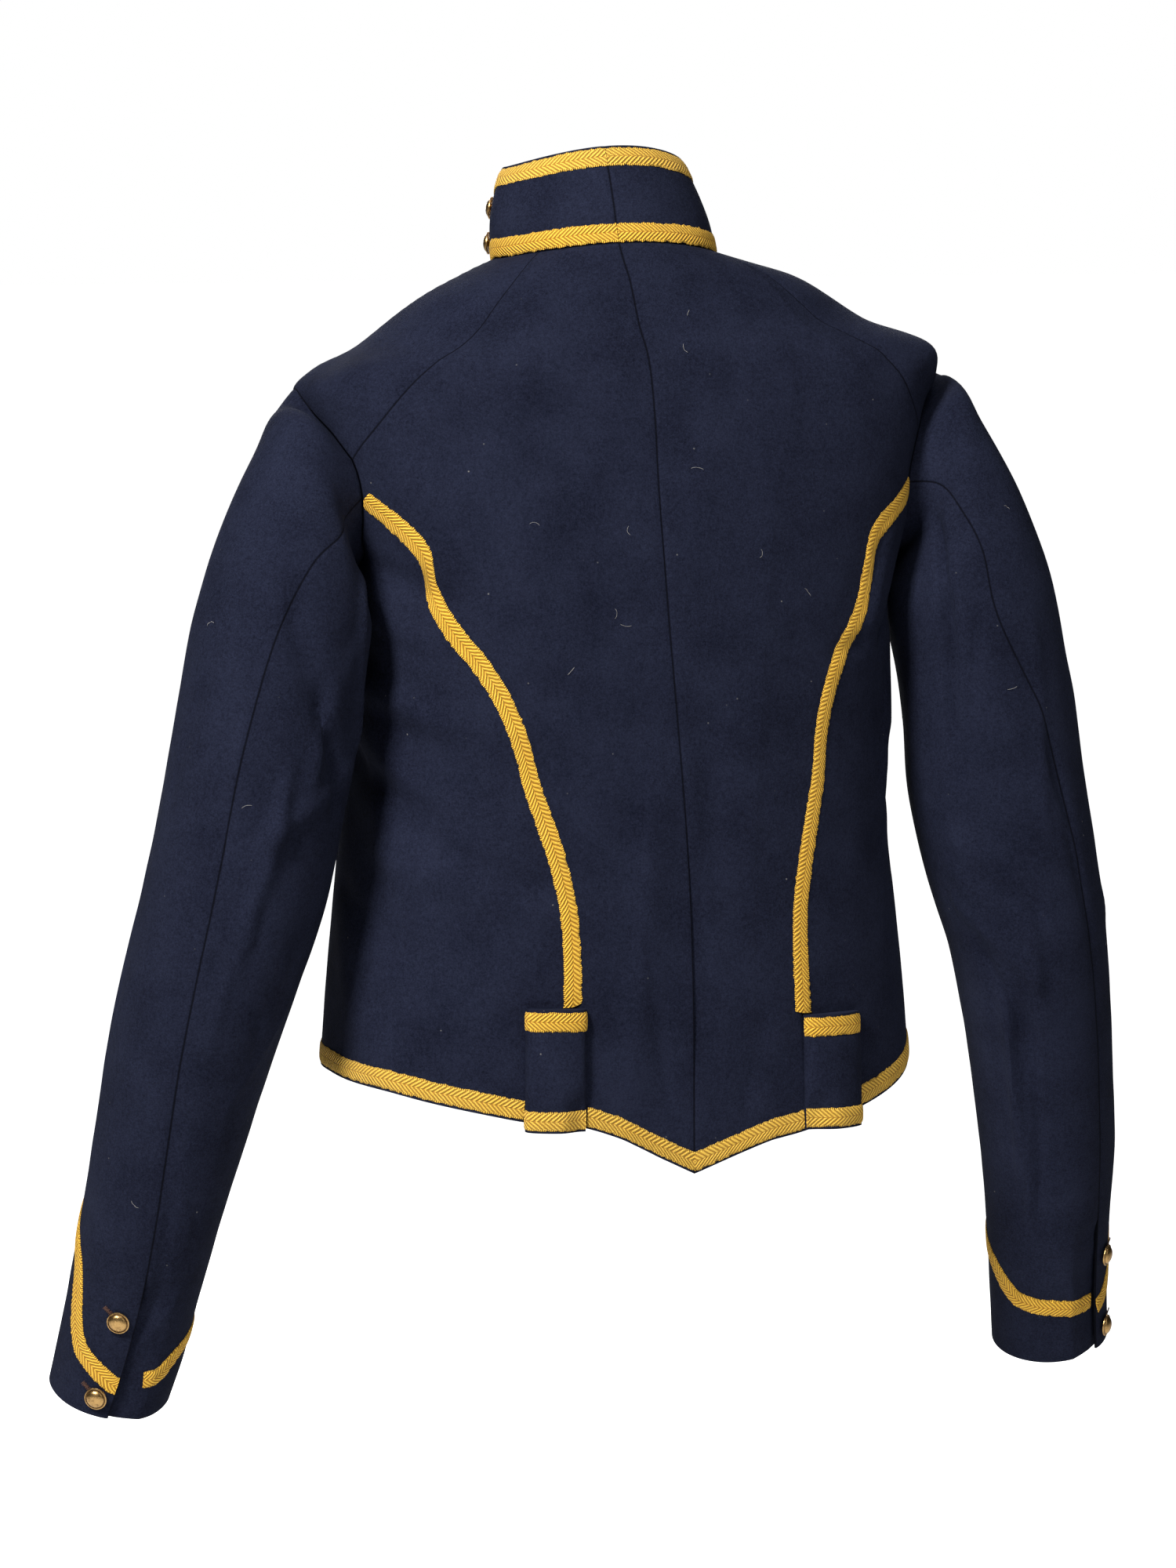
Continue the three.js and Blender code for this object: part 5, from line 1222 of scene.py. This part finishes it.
wool = woolMaterial("fulled wool", woolSet)
lace = laceMaterial("herringbone lace", laceLook)
narrowLace = laceMaterial("narrow lace", narrowLook)
# the paler lace is painted light, a lighter copy of the same lace
paintedLightLace = laceMaterial("paler lace, painted light", paintedLightLook)
brass = brassMaterial("aged brass", brassSet)
paleThread = threadMaterial("pale fibre", (0.20, 0.19, 0.18, 1), (0.42, 0.40, 0.38, 1))
brownThread = threadMaterial("brown thread", (0.035, 0.013, 0.008, 1), (0.11, 0.045, 0.026, 1))
print("materials ready")


# Dressing
def finishPiece(piece, material, slot, *nodes):
    piece.data.materials.clear()
    piece.data.materials.append(material)
    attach(piece, "root")
    if nodes:
        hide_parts(*nodes)
    return piece


padSet = {
    1: {"angle": 36, "top": -466, "foot": -543}, -1: {"angle": 46, "top": -475, "foot": -548},
    "wide": 35, "high": 11, "lift": 0.3, "degree": 2.45, "rows": 46, "columns": 30,
    "levels": 5, "places": 8, "fill": 0.8,
}


def padPanel(side):
    # the padded tab's outer face, full in the middle, drawn in at its sides and sloping to the hem
    s, p = padSet, padSet[side]
    rowAt = np.linspace(0, s["levels"], s["rows"] + 1)
    columnAt = np.linspace(0, s["places"], s["columns"] + 1)
    t, across = np.meshgrid(rowAt / s["levels"], columnAt / s["places"], indexing="ij")
    angle = p["angle"] + (across - 0.5) * s["wide"] / s["degree"]
    level = (p["foot"] + (p["top"] - p["foot"]) * t - cloth["lowRing"]) / cloth["ringStep"]
    base, outward = bodyPoint(side, angle, level), bodyOutward(side, angle, level)
    crown = np.maximum(1 - (2 * across - 1) ** 2, 0) ** 0.42
    atFoot = 1 - ease(t, 0.12, 0.42)
    crown = crown * (1 - atFoot * (1 - ease(across, 0, 0.5)))
    full = 0.8 + 0.2 * np.sin(math.pi * np.minimum(t * 1.1, 1))
    drawn = 1 - 0.10 * np.exp(-(((t - 0.84) / 0.05) ** 2)) - 0.06 * np.exp(-(((t - 0.19) / 0.05) ** 2))
    soft = 0.35 * noiseField(base, 26, 21 + side)
    thick = cloth["thick"] + (s["high"] - cloth["thick"]) * crown * full * drawn + soft * crown
    panel = Panel(base + outward * (s["lift"] + thick)[..., None], outward, rowAt, columnAt)
    panel.base = base + outward * s["lift"]
    return panel


def faceOutward(panel):
    # the laces on a pad stand square to its bulging face
    facing = unit(np.cross(unit(np.gradient(panel.point, axis=1)), unit(np.gradient(panel.point, axis=0))))
    panel.outward = facing * np.sign((facing * panel.outward).sum(-1, keepdims=True))


buttonMaster = modelButton(buttonSet)
buttonTurns = iter([random.uniform(0, 6.28) for _ in range(64)])

# how far from the collar's middle and from other ends the laces start and stop, in columns or rows
endSet = {"middle": 0.012, "underArm": 0.12, "frontTop": 0.06, "rightFront": 2.05, "cuffSlit": 0.05}
hemSet = {"padGapBack": 0.2, "padGapSide": 1.7, "seamEdge": 0.4}
frontSet = {"buttons": 12, "first": 34, "fromTop": 22, "holeLong": 12.0, "holeBack": 2.0}


class Side:
    # one side of the jacket: its panels, and the pieces that are sewn on each
    def __init__(self, side):
        self.side, self.name = side, "left" if side > 0 else "right"
        self.layout = bodyLayout(side)
        low = cloth["lowRows"]
        back = bodyPanel(side, self.layout["back"], (low,), (cloth["neckBackColumns"],))
        front = bodyPanel(side, self.layout["front"], (low,), (cloth["shoulderColumns"],))
        sideBody = bodyPanel(side, self.layout["sideBody"])
        collar = collarPanel(side, self.layout["collar"])
        topSleeve, underSleeve = sleevePanels(side, back, front, sideBody)
        self.panels = {
            "back": back, "side_body": sideBody, "front": front, "collar": collar,
            "top_sleeve": topSleeve, "under_sleeve": underSleeve,
        }
        self.trims = {key: [] for key in self.panels}
        print("forms", self.name)

    def tape(self, owner, node, weave, *where, material=lace):
        piece = weave(f"{node}_tape", *where)
        self.trims[owner].append(finishPiece(piece, material, "lace", node))

    def button(self, owner, node, i, j, lift):
        panel = self.panels[owner]
        point, outward = panel.read(panel.point, i, j), unit(panel.read(panel.outward, i, j))
        piece = sewButton(f"{node}_dome", buttonMaster, point, outward, next(buttonTurns), lift)
        self.trims[owner].append(finishPiece(piece, brass, "brass", node))
        return point, outward

    def hole(self, owner, name, *where):
        self.trims[owner].append(finishPiece(buttonhole(name, *where), brownThread, "wool"))


def sewPanels(jacket):
    sewn = {
        "back": ("left", "right", "top"), "side_body": ("left", "right", "top"), "front": ("left", "top"),
        "collar": ("left", "bottom"), "top_sleeve": ("left", "right", "bottom"),
        "under_sleeve": ("left", "right", "bottom"),
    }
    cuts = {}
    for key, panel in jacket.panels.items():
        node = f"{key}_{jacket.name}"
        piece, flat, area = sewPanel(node + "_cloth", panel, sewn[key])
        cuts[key] = (finishPiece(piece, wool, "wool", node), flat, area)
    return cuts


def dressPad(jacket):
    name, pad = jacket.name, padPanel(jacket.side)
    flat = np.stack([pad.along, pad.up], -1)
    far = np.full(2 * pad.up.size, farFromSeam)
    piece = wallBetween(f"bolster_{name}_pad", pad.point, pad.base, flat, {"seamAway": far})
    smoothByAngle(piece, 60)
    finishPiece(piece, wool, "wool", f"bolster_{name}")
    faceOutward(pad)
    ends = (cloth["edge"], 0, padSet["places"])
    jacket.tape("back", f"bolster_foot_lace_{name}", tapeAlongRow, pad, False, *ends, material=paintedLightLace)
    jacket.tape("back", f"bolster_top_lace_{name}", tapeAlongRow, pad, True, *ends)
    return pad


def dressHem(jacket, pad):
    name, edge = jacket.name, cloth["edge"]
    back, sideBody, front = (jacket.panels[key] for key in ("back", "side_body", "front"))

    def besidePad(panel, corner, away):
        # the column under the pad's corner, moved by so many millimetres
        nearest = int(np.argmin(np.linalg.norm(panel.point[0] - corner, axis=-1)))
        step = np.linalg.norm(panel.point[0, 6] - panel.point[0, 0]) / panel.columnAt[6]
        return float(panel.columnAt[nearest]) + away / step

    def hem(owner, key, *ends):
        node = f"hem_{key}_lace_{name}"
        jacket.tape(owner, node, tapeAlongRow, jacket.panels[owner], False, edge, *ends, material=paintedLightLace)

    backEnd = besidePad(back, pad.base[0, 0], -hemSet["padGapBack"])
    sideStart = besidePad(sideBody, pad.base[0, -1], hemSet["padGapSide"])
    end = float(front.columnAt[-1]) - endSet["rightFront"]
    if jacket.side > 0:
        toEdge = front.along[0] - front.along[0, -1]
        end = float(np.interp(-(edge + laceSet["wide"] + laceSet["gap"]), toEdge, front.columnAt))
    hem("back", "back", endSet["middle"], backEnd)
    hem("side_body", "side", sideStart, cloth["sideColumns"])
    hem("front", "front", 0, end)
    first = float(np.interp(pad.point[-1, 0, 2] + 1, sideBody.point[:, 0, 2], sideBody.rowAt))
    last = cloth["lowRows"] - endSet["underArm"]
    jacket.tape("side_body", f"side_back_lace_{name}", tapeOverSeam, back, sideBody, first, last)


def dressCollar(jacket):
    name, collar, start = jacket.name, jacket.panels["collar"], endSet["middle"]
    last = float(collar.columnAt[-1])
    toEdge = collar.along[0] - collar.along[0, -1]
    seamEnd = float(np.interp(-(loopSet["long"] + laceSet["gap"]), toEdge, collar.columnAt))
    top = (collar, True, cloth["edge"], start, last)
    jacket.tape("collar", f"collar_top_lace_{name}", tapeAlongRow, *top, material=paintedLightLace)
    seam = (collar, False, hemSet["seamEdge"], start, seamEnd)
    jacket.tape("collar", f"collar_seam_lace_{name}", tapeAlongRow, *seam)
    tall = float(collar.up[-1, -1])
    for k, high in enumerate(loopSet["heights"], 1):
        jacket.tape("collar", f"collar_loop_{name}_{k}", collarLoop, collar, high, material=narrowLace)
        i = float(collar.rowIndex(high / tall * cloth["collarRows"]))
        j = float(np.interp(loopSet["long"] - loopSet["wide"], *collar.row(i, True)))
        jacket.button("collar", f"collar_button_{name}_{k}", i, j, loopSet["thick"])


def dressCuff(jacket):
    side, name, s = jacket.side, jacket.name, cuffSet
    top, under = jacket.panels["top_sleeve"], jacket.panels["under_sleeve"]
    seam = hindSeam[side][-1]
    onTop = (side, top, seam, endSet["cuffSlit"], 0)
    onUnder = (side, under, 180 + seam, 0, s["laceEnd"][side])
    jacket.tape("top_sleeve", f"cuff_lace_top_{name}", tapeRoundCuff, *onTop)
    jacket.tape("under_sleeve", f"cuff_lace_under_{name}", tapeRoundCuff, *onUnder)
    for k, rise in enumerate(s["buttons"], 1):
        i, higher = (float(v) for v in np.interp([rise, rise + s["holeRise"]], *top.column(0.0, True)))
        near, far = np.interp([s["fromEdge"], 2 * s["fromEdge"]], *top.row(i))
        point, outward = jacket.button("top_sleeve", f"cuff_button_{name}_{k}", i, float(near), 0.1)
        spots = top.read(top.point, np.array([i, higher]), np.array([near, far]))
        way = spots[1] - spots[0]
        jacket.hole("top_sleeve", f"cuff_hole_{name}_{k}", point + way * 0.18, outward, way, s["holeLong"])


def dressFront(jacket):
    # the left front laps over the right: its edge lace, the buttons and their holes
    front, s = jacket.panels["front"], frontSet
    start = float(np.interp(cloth["edge"], front.up[:, -1], front.rowAt))
    last = float(front.rowAt[-1]) - endSet["frontTop"]
    jacket.tape("front", "front_edge_lace", tapeUpSide, front, cloth["edge"], start, last)
    angles = jacket.layout["front"][0, :, 0]
    j = float(front.columnIndex(len(angles) - 1 - cloth["frontPass"] / (angles[-1] - angles[-2])))
    lengths, index = front.column(j)
    for k in range(s["buttons"]):
        up = s["first"] + (lengths[-1] - s["fromTop"] - s["first"]) * k / (s["buttons"] - 1)
        i = float(np.interp(up, lengths, index))
        point, outward = jacket.button("front", f"front_button_{k + 1}", i, j, 0.1)
        way = front.read(front.point, i, min(j + 3, len(front.columnAt) - 1.0)) - point
        start = point - unit(way) * s["holeBack"]
        jacket.hole("front", f"front_hole_{k + 1}", start, outward, way, s["holeLong"])


def scatterFibres(jacket):
    fibres = []
    for key, rows, columns, count in (
        ("back", (0.15, 0.9), (0.1, 0.8), 5), ("top_sleeve", (0.1, 0.8), (0.02, 0.3), 2),
        ("under_sleeve", (0.1, 0.8), (0.8, 0.95), 1),
    ):
        panel = jacket.panels[key]
        for k in range(count):
            i = random.uniform(*rows) * (panel.point.shape[0] - 1)
            j = random.uniform(*columns) * (panel.point.shape[1] - 1)
            fibres.append(strayFibre(panel, i, j))
    finishPiece(threadMesh(f"stray_hairs_{jacket.name}", fibres, 0.09), paleThread, "wool")


def dressSide(side):
    jacket = Side(side)
    cuts = sewPanels(jacket)
    pad = dressPad(jacket)
    dressHem(jacket, pad)
    dressCollar(jacket)
    dressCuff(jacket)
    if side > 0:
        dressFront(jacket)
    scatterFibres(jacket)
    print("dressed", jacket.name)


for side in (1, -1):
    dressSide(side)
bpy.data.objects.remove(buttonMaster)


# Studio
studioSet = {
    "floor": -1.35, "size": 90, "paper": (0.86, 0.86, 0.855, 1), "paperFleck": (0.84, 0.84, 0.835, 1),
    "glow": 1.0, "bounce": (0.02, 0.02, 0.02, 1), "fill": 0.022, "aim": (0, 0, -0.35),
    "boxes": (
        ("left box", (2.4, 1.8, 2.1), 0.8, 232), ("right box", (-1.2, 3.0, 0.6), 1.6, 9),
        ("top box", (-0.3, 0.9, 2.3), 1.1, 30), ("front box", (-0.8, -2.8, 0.8), 1.8, 60),
    ),
}


def buildStudio(s):
    material, n, shader, place = newMaterial("paper sweep")
    grain = n.noise(place, 90.0, 4.0)
    fleck = n.mapRange(grain, 0.35, 0.65, 0.0, 1.0)
    n.put(shader.inputs["Base Color"], n.mixColor(fleck, s["paper"], s["paperFleck"]))
    n.put(shader.inputs["Roughness"], n.mapRange(grain, 0.3, 0.7, 0.8, 0.9))
    seen = n.add("ShaderNodeLightPath").outputs["Is Camera Ray"]
    n.put(shader.inputs["Emission Color"], n.mixColor(seen, s["bounce"], (1, 1, 1, 1)))
    shader.inputs["Emission Strength"].default_value = s["glow"]
    bumpInto(n, shader, grain, 0.05, 0.0005)
    bpy.ops.object.select_all(action="DESELECT")
    bpy.ops.mesh.primitive_plane_add(size=s["size"], location=(0, 0, s["floor"]))
    floor = bpy.context.object
    floor.name = "floor"
    floor.data.materials.append(material)
    world = bpy.data.worlds.new("studio")
    bpy.context.scene.world = world
    world.use_nodes = True
    sky = Net(world.node_tree)
    seen = sky.add("ShaderNodeLightPath").outputs["Is Camera Ray"]
    back = world.node_tree.nodes["Background"]
    back.inputs[0].default_value = (1.0, 1.0, 1.0, 1)
    sky.put(back.inputs[1], sky.mapRange(seen, 0.0, 1.0, s["fill"], 1.0, "LINEAR"))
    for name, spot, size, power in s["boxes"]:
        data = bpy.data.lights.new(name, "AREA")
        data.shape, data.size, data.energy = "SQUARE", size, power
        light = bpy.data.objects.new(name, data)
        light.location = spot
        light.rotation_mode = "QUATERNION"
        light.rotation_quaternion = (Vector(spot) - Vector(s["aim"])).to_track_quat("Z", "Y")
        bpy.context.scene.collection.objects.link(light)
    bpy.context.scene.view_settings.view_transform = "Standard"


buildStudio(studioSet)
print("studio ready")
